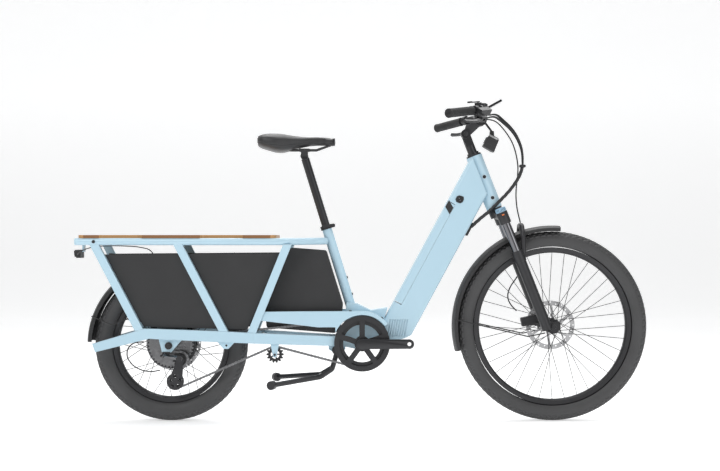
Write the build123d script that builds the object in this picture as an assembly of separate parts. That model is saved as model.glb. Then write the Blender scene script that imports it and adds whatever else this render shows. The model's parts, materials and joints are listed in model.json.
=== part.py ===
from build123d import *
import math
import os

# Long-tail cargo bicycle with a hub motor. Millimetres, +X forward, +Y to the rider's left, +Z up.
# It is drawn with x = 0 at the rear axle and moved on saving, so that the origin is on the
# ground below the middle of the bicycle.

# Wheels and stance
WHEELBASE = 1392
REAR_TYRE_RADIUS, REAR_TYRE_WIDTH, REAR_BEAD_RADIUS = 279, 76, 203
FRONT_TYRE_RADIUS, FRONT_TYRE_WIDTH, FRONT_BEAD_RADIUS = 345.5, 66, 279.5
REAR_END, FRONT_END = -354, WHEELBASE + FRONT_TYRE_RADIUS
ORIGIN_X = (REAR_END + FRONT_END) / 2
REAR_HUB = (0, REAR_TYRE_RADIUS)
FRONT_HUB = (WHEELBASE, FRONT_TYRE_RADIUS)
RIM_LIP, TYRE_WALL, SPOKE_RADIUS = 8, 4, 1.1
AXLE_RADIUS = 7

# Crank and seat
BB = (696.5, 285.5)
SEAT_TILT = 17.2
SEAT_TUBE_TOP_Z, SEAT_TUBE_RADIUS, SEATPOST_RADIUS = 708, 18, 15
CRANK_LENGTH = 170
SPINDLE_RADIUS = 12

# Steering
HEAD_TILT = 21.5
HEAD_BOTTOM = (1181.3, 776.4)
HEAD_LENGTH, HEAD_RADIUS = 204, 29.5
STEERER_RADIUS = 14.3
LEG_SPREAD, LEG_LEAD, FORK_OFFSET = 65, 12, 38.3
STANCHION_RADIUS, LEG_RADIUS = 16, 19.5
LEG_TOP, LEG_BOTTOM, AXLE_DROP = 173, 478, 479

# Down tube: its upper edge passes through TUBE_FOOT and leans forward by TUBE_TILT
TUBE_FOOT = (813.4, 437.8)
TUBE_TILT = 28.3
TUBE_DEPTH, TUBE_HALF_WIDTH, COVER_DEPTH = 114, 42, 29
BATTERY_LENGTH, BATTERY_HALF_WIDTH, BAY_DEPTH = 372, 31, 94

# Stem, bars and what is on them
STEM_PIVOT, BAR_CENTRE, HEADLIGHT_PIVOT = (1075.4, 1047.2), (1130, 1098), (1172, 1052)
BAR_RADIUS, BAR_CLAMP_RADIUS = 11.1, 15.9
GRIP_INNER, GRIP_OUTER = (1079.5, -230, 1112.2), (990, -330, 1094.5)
LEVER_PIVOT, SHIFT_PIVOT = (2, 50, -4), (-50, -8, 29)
BRAKE_PITCH = 32
BELL_SEAT = (1126.5, -128, 1112)

# Rear rack
RAIL_Y, RAIL_Z, RAIL_RADIUS = 120, 654, 12.7
DECK_REAR, DECK_FRONT, DECK_HALF_WIDTH, DECK_THICKNESS = -322, 390, 126, 11
STRUT_TOP_Z, STRUT_BOTTOM_Z, STRUT_BOTTOM_Y = 648, 330, 91
STRUT_DEPTH, STRUT_WIDTH = 20, 29

# Drive: every chain wheel lies in one plane
CHAIN_Y = -62
CHAIN_PITCH = 12.7
CHAINRING_TEETH, COG_TEETH, PULLEY_TEETH, IDLER_TEETH = 44, 11, 13, 14
CASSETTE_TEETH = [11, 13, 15, 18, 21, 26, 32, 40]
COG_SPACING = 4.8
GUIDE, TENSION, IDLER = (40, 228), (21, 148.2), (381.8, 246.2)
CAGE_PIVOT = (42, 236)
KICK_PIVOT = (603, 259.4)
LINK_JOINT, KNUCKLE_JOINT, LINK_SWING = (-14, -104, 243), (42, -116, 236.4), 50
PEDAL_HOLE_RADIUS = 7.14
FRONT_ROTOR_Y, FRONT_ROTOR_RADIUS, REAR_ROTOR_Y, REAR_ROTOR_RADIUS = 42, 90, 52, 101.5

STRUTS = [(-263, -98.5), (36, 202.5), (431, 298.5)]
CROSS_TUBES = [-318, -263, 36, 300]
HEAD_BOTTOM_3D = (HEAD_BOTTOM[0], 0, HEAD_BOTTOM[1])
HEAD_BORE, CUP_RADIUS, LOCK_RADIUS = 22, 20.5, 13

# Fits: radial clearance of a turning or sliding pair, and the gap between moving neighbours
RUN = 0.05
GAP = 0.4


# ---------------------------------------------------------------- small helpers
def pitch_radius(teeth):
    return CHAIN_PITCH / (2 * math.sin(math.pi / teeth))


def solids_of(*shapes):
    return [solid for shape in shapes for solid in shape.solids()]


def group(*shapes):
    return Compound(solids_of(*shapes))


def both_sides(shape):
    return group(shape, mirror(shape, about=Plane.XZ))


def rod(start, end, radius, bore=0):
    start, end = Vector(start), Vector(end)
    base = Plane(origin=start, z_dir=end - start)
    ring = base * Circle(radius)
    if bore:
        ring -= base * Circle(bore)
    return extrude(ring, (end - start).length)


def disc(centre, y_low, y_high, radius, bore=0):
    x, z = centre
    return rod((x, y_low, z), (x, y_high, z), radius, bore)


def face_of(*points):
    return make_face(Polyline(*points, close=True))


def side_plate(outline, y_low, y_high):
    base = Plane(origin=(0, y_high, 0), x_dir=(1, 0, 0), z_dir=(0, -1, 0))
    return extrude(base * outline, y_high - y_low)


def top_plate(outline, z_low, z_high):
    return extrude(Plane(origin=(0, 0, z_low)) * outline, z_high - z_low)


def bar(start, end, width, depth, flat=(0, 1, 0)):
    # A box from start to end; depth is measured along the direction nearest to flat.
    start, end = Vector(start), Vector(end)
    run = end - start
    across = run.cross(Vector(flat))
    base = Plane(origin=start, x_dir=across, z_dir=run)
    return extrude(base * Rectangle(width, depth), run.length)


def wound(profile, centre, start=0, degrees=360):
    # Turns a (y, radius) profile about a wheel's axis. Angles count forward from straight up.
    x, z = centre
    axis = Axis((x, 0, z), (0, 1, 0))
    plane = Plane(origin=(x, 0, z), x_dir=(0, 1, 0), z_dir=(1, 0, 0))
    return revolve(plane * profile, axis=axis, revolution_arc=degrees).rotate(axis, start)


def bent_tube(points, radii, radius):
    if len(points) == 2:
        return rod(points[0], points[1], radius)
    path = Wire(FilletPolyline(*points, radius=radii).edges())
    return sweep(Plane(path @ 0, z_dir=path % 0) * Circle(radius), path=path)


def soft_radii(points):
    # The largest arc at each corner: 0.45 of the shorter run beside it.
    radii = []
    for before, here, after in zip(points, points[1:], points[2:]):
        first, second = Vector(here) - Vector(before), Vector(after) - Vector(here)
        turn = math.radians(first.get_angle(second))
        radii.append(0.45 * min(first.length, second.length) / math.tan(turn / 2))
    return radii


def cable(points, radius):
    return bent_tube(points, soft_radii(points), radius)


def polar(centre, radius, degrees):
    angle = math.radians(degrees)
    return (centre[0] + radius * math.cos(angle), centre[1] + radius * math.sin(angle))


# ---------------------------------------------------------------- skewed frames of reference
def steer(drop, lead=0, y=0):
    # A point measured down the steering axis from the head tube's foot and ahead of the axis.
    tilt = math.radians(HEAD_TILT)
    x = HEAD_BOTTOM[0] + drop * math.sin(tilt) + lead * math.cos(tilt)
    z = HEAD_BOTTOM[1] - drop * math.cos(tilt) + lead * math.sin(tilt)
    return (x, y, z)


def tube_point(along, depth):
    # A point of the down tube: along it from its foot and in from its upper edge.
    tilt = math.radians(TUBE_TILT)
    x = TUBE_FOOT[0] + along * math.sin(tilt) + depth * math.cos(tilt)
    z = TUBE_FOOT[1] + along * math.cos(tilt) - depth * math.sin(tilt)
    return (x, z)


def tube_block(along_low, along_high, depth_low, depth_high, half_width):
    corners = [
        (along_low, depth_low), (along_high, depth_low), (along_high, depth_high), (along_low, depth_high),
    ]
    return side_plate(face_of(*[tube_point(a, d) for a, d in corners]), -half_width, half_width)


def seat_point(z, ahead=0):
    tilt = math.radians(SEAT_TILT)
    return (BB[0] - (z - BB[1]) * math.tan(tilt) + ahead * math.cos(tilt), 0, z + ahead * math.sin(tilt))


def strut_plane(inward):
    # The leaning plane of the right-hand struts, moved in towards the wheel.
    lean = Vector(0, -(RAIL_Y - STRUT_BOTTOM_Y), RAIL_Z - STRUT_BOTTOM_Z)
    outward = Vector(1, 0, 0).cross(lean).normalized()
    origin = Vector(0, -STRUT_BOTTOM_Y, STRUT_BOTTOM_Z) - outward * inward
    return Plane(origin=origin, x_dir=(1, 0, 0), z_dir=outward)


def strut_sheet(outline, inward, thickness):
    # An outline given in side view (x, z), laid on the struts' plane and thickened inwards.
    stretch = math.hypot(RAIL_Y - STRUT_BOTTOM_Y, RAIL_Z - STRUT_BOTTOM_Z) / (RAIL_Z - STRUT_BOTTOM_Z)
    flat = face_of(*[(x, (z - STRUT_BOTTOM_Z) * stretch) for x, z in outline])
    return extrude(strut_plane(inward) * flat, -thickness)


COLLAR_PIN = seat_point(SEAT_TUBE_TOP_Z - 3, 26)


# ---------------------------------------------------------------- welded frame
def head_tube():
    top = steer(-HEAD_LENGTH)
    return rod(HEAD_BOTTOM_3D, top, HEAD_RADIUS, HEAD_BORE)


def seat_tube():
    return rod(seat_point(BB[1] + 34), seat_point(SEAT_TUBE_TOP_Z), SEAT_TUBE_RADIUS, SEATPOST_RADIUS + RUN)


def crank_housing():
    # The casting that joins seat tube, down tube and crank bearing, and holds the controller.
    outline = face_of(
        (628, 318), (640, 432), (678, 428), (729, 403), (790, 413),
        (779, 379), (779, 283), (722, 263), (676, 263), (600, 279), (600, 311),
    )
    casting = side_plate(fillet(outline.vertices().filter_by_position(Axis.X, 720, 735), 12), -36, 36)
    casting -= disc(BB, -40, 40, CUP_RADIUS)
    casting -= side_plate(face_of((735, 300), (771, 305), (771, 380), (735, 380)), -30, 30)
    return casting - rod(seat_point(BB[1] + 34), seat_point(SEAT_TUBE_TOP_Z), SEAT_TUBE_RADIUS)


def down_tube():
    # A square-section tube with an open bay on its upper side for the battery.
    tube = tube_block(-170, 620, 0, TUBE_DEPTH, TUBE_HALF_WIDTH)
    tube = fillet([edge for edge in tube.edges() if edge.length > 400], 10)
    tube &= side_plate(face_of(
        steer(-HEAD_LENGTH + 3, -10)[::2], steer(-6, -10)[::2], tube_point(440, 160), tube_point(-110, 160),
        (881, 317), (852, 303), (779, 283), (779, 379), tube_point(-60, -30), tube_point(590, -30),
    ), -TUBE_HALF_WIDTH, TUBE_HALF_WIDTH)
    tube -= tube_block(0, BATTERY_LENGTH + 42, -20, COVER_DEPTH + GAP, TUBE_HALF_WIDTH + 5)
    tube -= tube_block(0, BATTERY_LENGTH + 2, COVER_DEPTH - 1, BAY_DEPTH, BATTERY_HALF_WIDTH + 2)
    tube -= rod(HEAD_BOTTOM_3D, steer(-HEAD_LENGTH - 60), HEAD_RADIUS)
    for side in (-1, 1):
        for rib in range(8):
            foot = (787 + 9 * rib, 0, 309)
            slot = bar(foot, (foot[0] + 12, 0, foot[2] + 62), 4.5, 6)
            tube -= slot.translate((0, side * TUBE_HALF_WIDTH, 0))
    tube -= disc(tube_point(438, 34), -TUBE_HALF_WIDTH - 1, -TUBE_HALF_WIDTH + 14, LOCK_RADIUS + GAP)
    return tube


def rack_rails():
    rail = bent_tube(
        [(-331, -RAIL_Y, RAIL_Z), (420, -RAIL_Y, RAIL_Z), (566, -22, RAIL_Z + 2)], [90], RAIL_RADIUS,
    )
    rails = [rail, mirror(rail, about=Plane.XZ)]
    seat = rod(seat_point(600), seat_point(SEAT_TUBE_TOP_Z), SEAT_TUBE_RADIUS)
    rails = [r - seat for r in rails]
    reach = RAIL_Y - RAIL_RADIUS + 1
    cross = [rod((x, -reach, RAIL_Z), (x, reach, RAIL_Z), 10) for x in CROSS_TUBES]
    cross = [tube - rails[0] - rails[1] for tube in cross]
    return rails + cross


def struts():
    # Three side struts as (x at the rail, x at the lower frame).
    made = []
    for top_x, bottom_x in STRUTS:
        lean = STRUT_WIDTH / 2 / math.cos(math.atan2(top_x - bottom_x, STRUT_TOP_Z - STRUT_BOTTOM_Z))
        outline = [
            (top_x - lean, STRUT_TOP_Z), (top_x + lean, STRUT_TOP_Z),
            (bottom_x + lean, STRUT_BOTTOM_Z - 6), (bottom_x - lean, STRUT_BOTTOM_Z - 6),
        ]
        strut = strut_sheet(outline, -STRUT_DEPTH / 2, STRUT_DEPTH)
        strut -= rod((-400, -RAIL_Y, RAIL_Z), (500, -RAIL_Y, RAIL_Z), RAIL_RADIUS)
        made.append(strut - lower_rail())
    return made


def lower_rail():
    # Right-hand lower rail: one outline from the side, one from above.
    side = face_of(
        (-273, 287), (-88, 341), (-60, 341), (186, 332), (590, 311),
        (600, 311), (600, 276), (598, 276), (180, 293), (-69, 305), (-262, 257),
    )
    plan = face_of(
        (-300, -102), (310, -102), (598, -60), (600, -60), (600, -36), (570, -36), (300, -78), (-300, -78),
    )
    return side_plate(side, -110, -30) & top_plate(plan, 200, 400)


def dropout():
    plate = side_plate(face_of((-37, 306), (50, 303), (8, 254), (-24, 254)), -86, -78)
    plate = fillet(plate.edges().filter_by(Axis.Y).group_by(Axis.Z)[0], 7)
    return plate - disc(REAR_HUB, -90, -70, AXLE_RADIUS) - lower_rail()


def frame_tab(points, y_low, y_high, hole, hole_radius):
    plate = side_plate(face_of(*points), y_low, y_high)
    plate = fillet(plate.edges().filter_by(Axis.Y).group_by(Axis.Z)[0], 6)
    return plate - disc(hole, y_low - 1, y_high + 1, hole_radius) - lower_rail()


def upper_stay():
    # A deep stay outside the chain that curls over the chainring.
    arch = make_face([
        Line((600, 403), (696.5, 403)),
        ThreePointArc((696.5, 403), polar(BB, 117.5, 62), polar(BB, 117.5, 38)),
        Line(polar(BB, 117.5, 38), polar(BB, 104, 38)),
        ThreePointArc(polar(BB, 104, 38), polar(BB, 104, 90), polar(BB, 104, 158)),
        Line(polar(BB, 104, 158), (600, 403)),
    ])
    beam = side_plate(face_of((322, 371), (338, 402), (602, 403), (602, 345), (536, 345)), -110, -40)
    plan = face_of((300, -106), (300, -92), (470, -70), (640, -70), (640, -82), (470, -82))
    beam &= top_plate(plan, 300, 420)
    curl = side_plate(arch, -82, -70)
    flange = side_plate(arch, -70, -37) & side_plate(
        face_of((640, 420), (800, 420), (800, 330), (730, 330)), -70, -37)
    flange -= disc(BB, -71, -36, 112)
    flange -= side_plate(face_of((779, 260), (779, 430), (900, 430), (900, 260)), -TUBE_HALF_WIDTH, 0)
    stay = beam + curl + flange - disc(BB, -90, -60, 104) - struts()[-1]
    return max(stay.solids(), key=lambda solid: solid.volume)


def lower_crossings():
    # The yoke ahead of the rear wheel and the plate that carries the kickstand.
    yoke = rod((333, -82, 309), (333, 82, 309), 9)
    plate = side_plate(face_of((575, 292), (630, 285), (636, 262), (603, 243), (575, 262)), -30, -22)
    plate += mirror(plate, about=Plane.XZ) + Pos(596, 0, 290) * Box(44, 76, 8)
    plate -= disc(KICK_PIVOT, -40, 40, 6 + RUN)
    rails = lower_rail()
    both_rails = rails + mirror(rails, about=Plane.XZ)
    return [yoke - both_rails, plate - crank_housing() - both_rails]


def tail_bracket():
    return Pos(-322, 0, 630) * Box(6, 34, 28) - rod((-318, -40, RAIL_Z), (-318, 40, RAIL_Z), 10)


# ---------------------------------------------------------------- bearings, fasteners, inner pieces
def bearing_cups():
    top = steer(-HEAD_LENGTH)
    upper = rod(steer(-HEAD_LENGTH + 14), steer(-HEAD_LENGTH), HEAD_BORE, STEERER_RADIUS + RUN)
    upper += rod(top, steer(-HEAD_LENGTH - 6), HEAD_RADIUS - 2, STEERER_RADIUS + RUN)
    lower = rod(steer(-14), HEAD_BOTTOM_3D, HEAD_BORE, STEERER_RADIUS + RUN)
    lower += rod(HEAD_BOTTOM_3D, steer(5), HEAD_RADIUS - 2, STEERER_RADIUS + RUN)
    crank_cup = disc(BB, -40, -16, CUP_RADIUS, SPINDLE_RADIUS + RUN)
    return group(upper, lower, both_sides(crank_cup))


def seat_collar():
    ring = rod(seat_point(SEAT_TUBE_TOP_Z - 9), seat_point(SEAT_TUBE_TOP_Z + 5), 22, SEAT_TUBE_RADIUS)
    ring += rod(seat_point(SEAT_TUBE_TOP_Z), seat_point(SEAT_TUBE_TOP_Z + 5), 22, SEATPOST_RADIUS + RUN)
    x, _, z = COLLAR_PIN
    ears = Pos(x - 1, 0, z) * Box(14, 18, 12)
    tube = rod(seat_point(650), seat_point(SEAT_TUBE_TOP_Z), SEAT_TUBE_RADIUS)
    bore = rod(seat_point(650), seat_point(800), SEATPOST_RADIUS + RUN)
    return ring + ears - tube - bore - rod((x, -12, z), (x, 12, z), 3 + RUN)


def collar_lever():
    x, _, z = COLLAR_PIN
    pin = rod((x, -26, z), (x, 12, z), 3)
    cam = rod((x, -28, z), (x, -12, z), 7)
    handle = Pos(x - 20, -26.5, z - 2) * Box(44, 5, 10)
    return pin + cam + handle


def deck_bolt_places():
    return [(x, y) for x in (-290, 60, 360) for y in (-104, 104)]


def frame_bolts():
    board_top = RAIL_Z + RAIL_RADIUS + DECK_THICKNESS
    deck = [rod((x, y, board_top - 3), (x, y, board_top - 0.4), 6) for x, y in deck_bolt_places()]
    plugs = []
    for drop, lead in ((-120, 5), (-38, 5)):
        x, _, z = steer(drop, lead)
        plugs.append(rod((x, -HEAD_RADIUS, z), (x, -HEAD_RADIUS - 2.5, z), 6.5))
    plugs.append(rod((-262, -RAIL_Y - RAIL_RADIUS, RAIL_Z), (-262, -RAIL_Y - RAIL_RADIUS - 2, RAIL_Z), 6))
    nuts = [disc(REAR_HUB, -94, -86, 13, AXLE_RADIUS), disc(REAR_HUB, -104, -94, 11)]
    x, z = polar(BB, 117.5, 52)
    stay_bolts = [rod((654, -76, 403), (654, -76, 406), 5), rod((x, -76, z), polar_3d(BB, 120.5, 52, -76), 5)]
    idler = disc(IDLER, -94, CHAIN_Y + 6, 4) + disc(IDLER, -70, -66, 8)
    bottle = [rod(seat_point(z, SEAT_TUBE_RADIUS), seat_point(z, SEAT_TUBE_RADIUS + 3), 4.5)
              for z in (457, 518)]
    return deck, plugs, nuts, stay_bolts, idler, bottle


def polar_3d(centre, radius, degrees, y):
    x, z = polar(centre, radius, degrees)
    return (x, y, z)


def controller():
    return Pos(753, 0, 342) * Box(32, 52, 66)


# ---------------------------------------------------------------- rack fittings
def deck_board():
    low = RAIL_Z + RAIL_RADIUS
    outline = Pos((DECK_REAR + DECK_FRONT) / 2, 0) * RectangleRounded(
        DECK_FRONT - DECK_REAR, 2 * DECK_HALF_WIDTH, 28)
    for middle in (-167, 193):
        for side in (-1, 1):
            outline -= Pos(middle, side * (DECK_HALF_WIDTH + 2)) * RectangleRounded(154, 44, 20)
    board = top_plate(outline, low, low + DECK_THICKNESS)
    for x, y in deck_bolt_places():
        board -= rod((x, y, low + DECK_THICKNESS - 3), (x, y, low + DECK_THICKNESS), 6 + RUN)
    return board


def side_panels():
    outline = [(-250, 607), (408, 612), (283, 336), (-90, 346)]
    panel = strut_sheet(outline, STRUT_DEPTH / 2 + 0.6, 2.5)
    panel -= lower_rail() + upper_stay()
    panel = max(panel.solids(), key=lambda solid: solid.volume)
    return both_sides(panel)


def frame_bag():
    outline = face_of((436, 632), (566, 622), (627, 425), (618, 334), (596, 322), (350, 342), (345, 402))
    bag = side_plate(outline, -48, 48)
    bag = fillet(bag.edges().filter_by(Axis.Y), 10)
    bag -= rod(seat_point(300), seat_point(SEAT_TUBE_TOP_Z), SEAT_TUBE_RADIUS + 1)
    return bag - rod((333, -82, 309), (333, 82, 309), 10)


def tail_light():
    housing = side_plate(face_of((-350, 624), (-328, 624), (-328, 594), (-344, 594)), -34, 34)
    housing = fillet(housing.edges().filter_by(Axis.X), 6)
    lens = Pos(-351, 0, 609) * Box(6, 60, 22)
    lens &= side_plate(face_of((-354, 622), (-344, 622), (-340, 596), (-350, 596)), -30, 30)
    stem = Pos(-326, 0, 620) * Box(6, 20, 16)
    return group(housing - lens - stem, lens)


def fender_profile(inner, half_width, side_depth, wall=2.4):
    outer = inner + wall
    shell = make_face([
        Line((-half_width, outer - side_depth), (-half_width, outer - 8)),
        ThreePointArc((-half_width, outer - 8), (0, outer + 1), (half_width, outer - 8)),
        Line((half_width, outer - 8), (half_width, outer - side_depth)),
        Line((half_width, outer - side_depth), (half_width - wall, outer - side_depth)),
        Line((half_width - wall, outer - side_depth), (half_width - wall, outer - 9)),
        ThreePointArc((half_width - wall, outer - 9), (0, outer + 1 - wall), (wall - half_width, outer - 9)),
        Line((wall - half_width, outer - 9), (wall - half_width, outer - side_depth)),
        Line((wall - half_width, outer - side_depth), (-half_width, outer - side_depth)),
    ])
    return shell


def rear_fender():
    shell = wound(fender_profile(304, 43, 20), REAR_HUB, -88, 130)
    loop = bent_tube([(-286, -45, 383), (-207, -70, 352), (-150, -77, 376), (-96, -80, 338)], [12, 12], 2)
    rails = lower_rail()
    loop -= rails
    strut = struts()[0]
    loop = max((loop - strut).solids(), key=lambda solid: solid.volume)
    return group(shell, loop, mirror(loop, about=Plane.XZ))


def rear_caliper():
    # Hangs on the left dropout behind the axle and straddles the rotor.
    x, z = polar(REAR_HUB, 102, 128)
    body = Pos(x, REAR_ROTOR_Y, z) * Rot(0, 52, 0) * Box(34, 30, 62)
    body = fillet(body.edges(), 5)
    body -= disc(REAR_HUB, REAR_ROTOR_Y - 2, REAR_ROTOR_Y + 2, 105)
    return body - mirror(lower_rail(), about=Plane.XZ)


def rear_cables():
    shift = cable([(-92, -72, 292), (-128, -76, 290), (-150, -82, 268), (-150, -88, 236),
                   (-128, -93, 208), (-94, -94, 190), (-58, -94, 186), (-30, -94, 192)], 2.2)
    hose = cable([(-62, 60, 380), (-40, 62, 420), (10, 66, 450), (80, 74, 470), (150, 84, 500),
                  (205, 88, 560), (222, 96, 612)], 2.5)
    light = cable([(-338, -35, 606), (-334, -56, 610), (-314, -80, 622), (-276, -96, 634), (-232, -102, 639),
                   (-170, -103, 639), (-110, -100, 636), (-66, -92, 626), (-50, -82, 600)], 1.8)
    return group(shift, light, hose - rear_caliper())


# ---------------------------------------------------------------- battery and lock
def battery_pack():
    pack = tube_block(4, BATTERY_LENGTH - 2, COVER_DEPTH, BAY_DEPTH - 2, BATTERY_HALF_WIDTH)
    return fillet(pack.edges().filter_by(Axis.Y).group_by(Axis.Z)[0], 4)


def battery_cover():
    cover = tube_block(3, BATTERY_LENGTH + 5, 0, COVER_DEPTH, TUBE_HALF_WIDTH)
    corner = cover.edges().filter_by(GeomType.LINE)
    middle = tube_point(190, 14)[1]
    top = [e for e in corner if abs(e.length - (BATTERY_LENGTH + 2)) < 0.1 and e.center().Z > middle]
    cover = fillet(top, 9)
    cap = tube_block(BATTERY_LENGTH + 5, BATTERY_LENGTH + 40, 0, COVER_DEPTH, TUBE_HALF_WIDTH - 0.5)
    return group(cover, cap)


def battery_lock():
    barrel = disc(tube_point(438, 34), -TUBE_HALF_WIDTH - 2.5, -TUBE_HALF_WIDTH + 13, LOCK_RADIUS)
    x, z = tube_point(438, 34)
    return barrel - Pos(x, -TUBE_HALF_WIDTH - 3, z) * Rot(0, -20, 0) * Box(2.4, 6, 11)


# ---------------------------------------------------------------- seat
def seatpost():
    post = rod(seat_point(520), seat_point(958), SEATPOST_RADIUS)
    x, _, z = seat_point(966)
    head = rod((x, -22, z), (x, 22, z), 14)
    return post + head


def saddle_base():
    x, _, z = seat_point(966)
    clamp = Pos(x, 0, z + 22) * Box(38, 56, 10)
    sides = [Pos(x, side * 26.4, z + 11) * Box(24, 4, 26) for side in (-1, 1)]
    rails = []
    for side in (-1, 1):
        y = side * 22
        route = [(x - 92, y, z + 40), (x - 66, y, z + 22), (x + 44, y, z + 22), (x + 96, side * 8, z + 40)]
        rails.append(bent_tube(route, [14, 14], 3.5))
    shell = saddle_shape(0.90, 1013, 1030)
    block = clamp + sides[0] + sides[1]
    for rail in rails:
        block -= rail
    rails = [rail - shell for rail in rails]
    return group(shell, block, *rails)


def saddle_shape(scale, low, high):
    # A saddle seen from above: broad at the back, drawn in to a nose.
    half = [(318, 0), (320, 60 * scale), (350, 84 * scale), (395, 78 * scale), (440, 46 * scale),
            (500, 28 * scale), (560, 22 * scale), (590, 16 * scale), (598, 0)]
    left = Spline(*half, tangents=[(0, 1), (0, -1)])
    right = Spline(*[(x, -y) for x, y in half], tangents=[(0, -1), (0, 1)])
    outline = make_face([left, right])
    return top_plate(outline, low, high)


def saddle_cover():
    side = make_face([
        Spline((316, 1022), (332, 1046), (380, 1048), (460, 1037), (540, 1036), (600, 1012)),
        Line((600, 1012), (600, 1004)),
        Spline((600, 1004), (540, 1006), (470, 998), (400, 978), (330, 996), (316, 1022)),
    ])
    body = saddle_shape(1, 960, 1060) & side_plate(side, -120, 120)
    return body - saddle_shape(0.905, 940, 1030.3) - saddle_base()


# ---------------------------------------------------------------- fork, stem and bars
def fork_crown():
    steerer = rod(steer(20), steer(-HEAD_LENGTH - 34), STEERER_RADIUS)
    crown = rod(steer(6), steer(34), 26)
    for side in (-1, 1):
        end = steer(36, LEG_LEAD, side * LEG_SPREAD)
        crown += bar(steer(24, 4), end, 36, 24, flat=steer_direction()) + leg_rod(side, 22, 66, 21)
    for side in (-1, 1):
        crown -= leg_rod(side, 20, 70, STANCHION_RADIUS)
    crown -= rod(steer(40, 0), steer(-HEAD_LENGTH - 34), STEERER_RADIUS)
    knobs = [leg_rod(side, 10, 20, 19) - crown for side in (-1, 1)]
    return group(max(crown.solids(), key=lambda solid: solid.volume), steerer - crown, *knobs)


def steer_direction():
    tilt = math.radians(HEAD_TILT)
    return (math.sin(tilt), 0, -math.cos(tilt))


def leg_rod(side, drop_low, drop_high, radius):
    y = side * LEG_SPREAD
    return rod(steer(drop_low, LEG_LEAD, y), steer(drop_high, LEG_LEAD, y), radius)


def stanchions():
    return group(*[leg_rod(side, 20, 400, STANCHION_RADIUS) for side in (-1, 1)])


def fork_arch():
    right = [steer(LEG_TOP + 18, 32, -62), steer(126, 55, -63), steer(94, 66, -36)]
    left = [(x, -y, z) for x, y, z in reversed(right)]
    return bent_tube(right + left, [26, 26, 26, 26], 9)


def fork_lowers():
    # Two legs with a shoulder at the top and a toe that carries the axle, joined by an arch.
    lowers = fork_arch()
    for side in (-1, 1):
        lowers -= leg_rod(side, LEG_TOP - 60, LEG_BOTTOM, LEG_RADIUS - 1)
    for side in (-1, 1):
        leg = leg_rod(side, LEG_TOP, LEG_BOTTOM, LEG_RADIUS)
        leg += leg_rod(side, LEG_TOP, LEG_TOP + 42, LEG_RADIUS + 2)
        ankle, toe = steer(LEG_BOTTOM - 24, LEG_LEAD, side * 57), steer(AXLE_DROP, FORK_OFFSET, side * 57)
        leg += bar(ankle, toe, 30, 11)
        leg += disc(FRONT_HUB, *sorted((side * 51, side * 62)), 17)
        leg -= leg_rod(side, LEG_TOP - 1, LEG_BOTTOM - 8, STANCHION_RADIUS + RUN)
        leg -= disc(FRONT_HUB, -90, 90, AXLE_RADIUS) + disc(FRONT_HUB, -51, 51, 29)
        lowers += leg
    axle = disc(FRONT_HUB, -68, 68, AXLE_RADIUS)
    nuts = [disc(FRONT_HUB, low, low + 8, 11, AXLE_RADIUS) - lowers for low in (-70, 62)]
    return group(lowers, axle, *nuts)


def stem_quill():
    spacer = rod(steer(-HEAD_LENGTH - 6.2), steer(-HEAD_LENGTH - 14), 22, STEERER_RADIUS)
    post = rod(steer(-HEAD_LENGTH - 14), steer(-HEAD_LENGTH - 76), 17, STEERER_RADIUS)
    pivot = STEM_PIVOT
    cheek = rod((pivot[0], -19, pivot[1]), (pivot[0], 19, pivot[1]), 17)
    neck = bar(steer(-HEAD_LENGTH - 40), (pivot[0], 0, pivot[1]), 30, 34)
    quill = post + neck + cheek
    quill -= rod(steer(-HEAD_LENGTH + 10), steer(-HEAD_LENGTH - 34.1), STEERER_RADIUS)
    quill -= Pos(pivot[0], 0, pivot[1]) * Box(60, 24 + 2 * GAP, 60)
    quill -= disc(pivot, -30, 30, 5 + RUN)
    return group(spacer, max(quill.solids(), key=lambda solid: solid.volume))


def stem_arm():
    arm = bar((STEM_PIVOT[0], 0, STEM_PIVOT[1]), (BAR_CENTRE[0], 0, BAR_CENTRE[1]), 30, 24)
    arm += disc(STEM_PIVOT, -12, 12, 17)
    clamp = disc(BAR_CENTRE, -24, 24, 22)
    bolt = disc(STEM_PIVOT, -24, 24, 5) + disc(STEM_PIVOT, -25, -19.4, 8) + disc(STEM_PIVOT, 19.4, 25, 8)
    body = arm + clamp - disc(BAR_CENTRE, -30, 30, BAR_CLAMP_RADIUS) - disc(STEM_PIVOT, -30, 30, 5)
    x, z = BAR_CENTRE
    mount = bar((x + 18, 0, z - 10), (HEADLIGHT_PIVOT[0], 0, HEADLIGHT_PIVOT[1] + 4), 6, 16)
    mount += disc(HEADLIGHT_PIVOT, -8, 8, 7)
    mount -= disc(HEADLIGHT_PIVOT, -12, 12, 3 + RUN)
    holder = bar((x + 10, 0, z + 16), (1160, 0, 1140), 5, 26)
    return group(body, bolt, mount - body, holder - body - display())


def grip_frame():
    # Frame of the right grip from its inner end: X outward along it, Y forward, Z up.
    along = (Vector(*GRIP_OUTER) - Vector(*GRIP_INNER)).normalized()
    ahead = Vector(-along.Y, along.X, 0).normalized()
    return Plane(origin=GRIP_INNER, x_dir=along, z_dir=along.cross(ahead))


def on_grip(shape):
    return grip_frame().location * shape


def on_brake(shape):
    # The brake levers are turned down from the grip's own plane.
    return on_grip(Rot(-BRAKE_PITCH, 0, 0) * shape)


def handlebar():
    inner, outer = Vector(*GRIP_INNER), Vector(*GRIP_OUTER)
    along = (outer - inner).normalized()
    corner = inner - along * 72
    right = [tuple(outer), tuple(corner), (BAR_CENTRE[0] + 1, -52, BAR_CENTRE[1])]
    left = [(x, -y, z) for x, y, z in reversed(right)]
    tube = bent_tube(right + left, [55, 45, 45, 55], BAR_RADIUS)
    return tube + disc(BAR_CENTRE, -34, 34, BAR_CLAMP_RADIUS)


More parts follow.
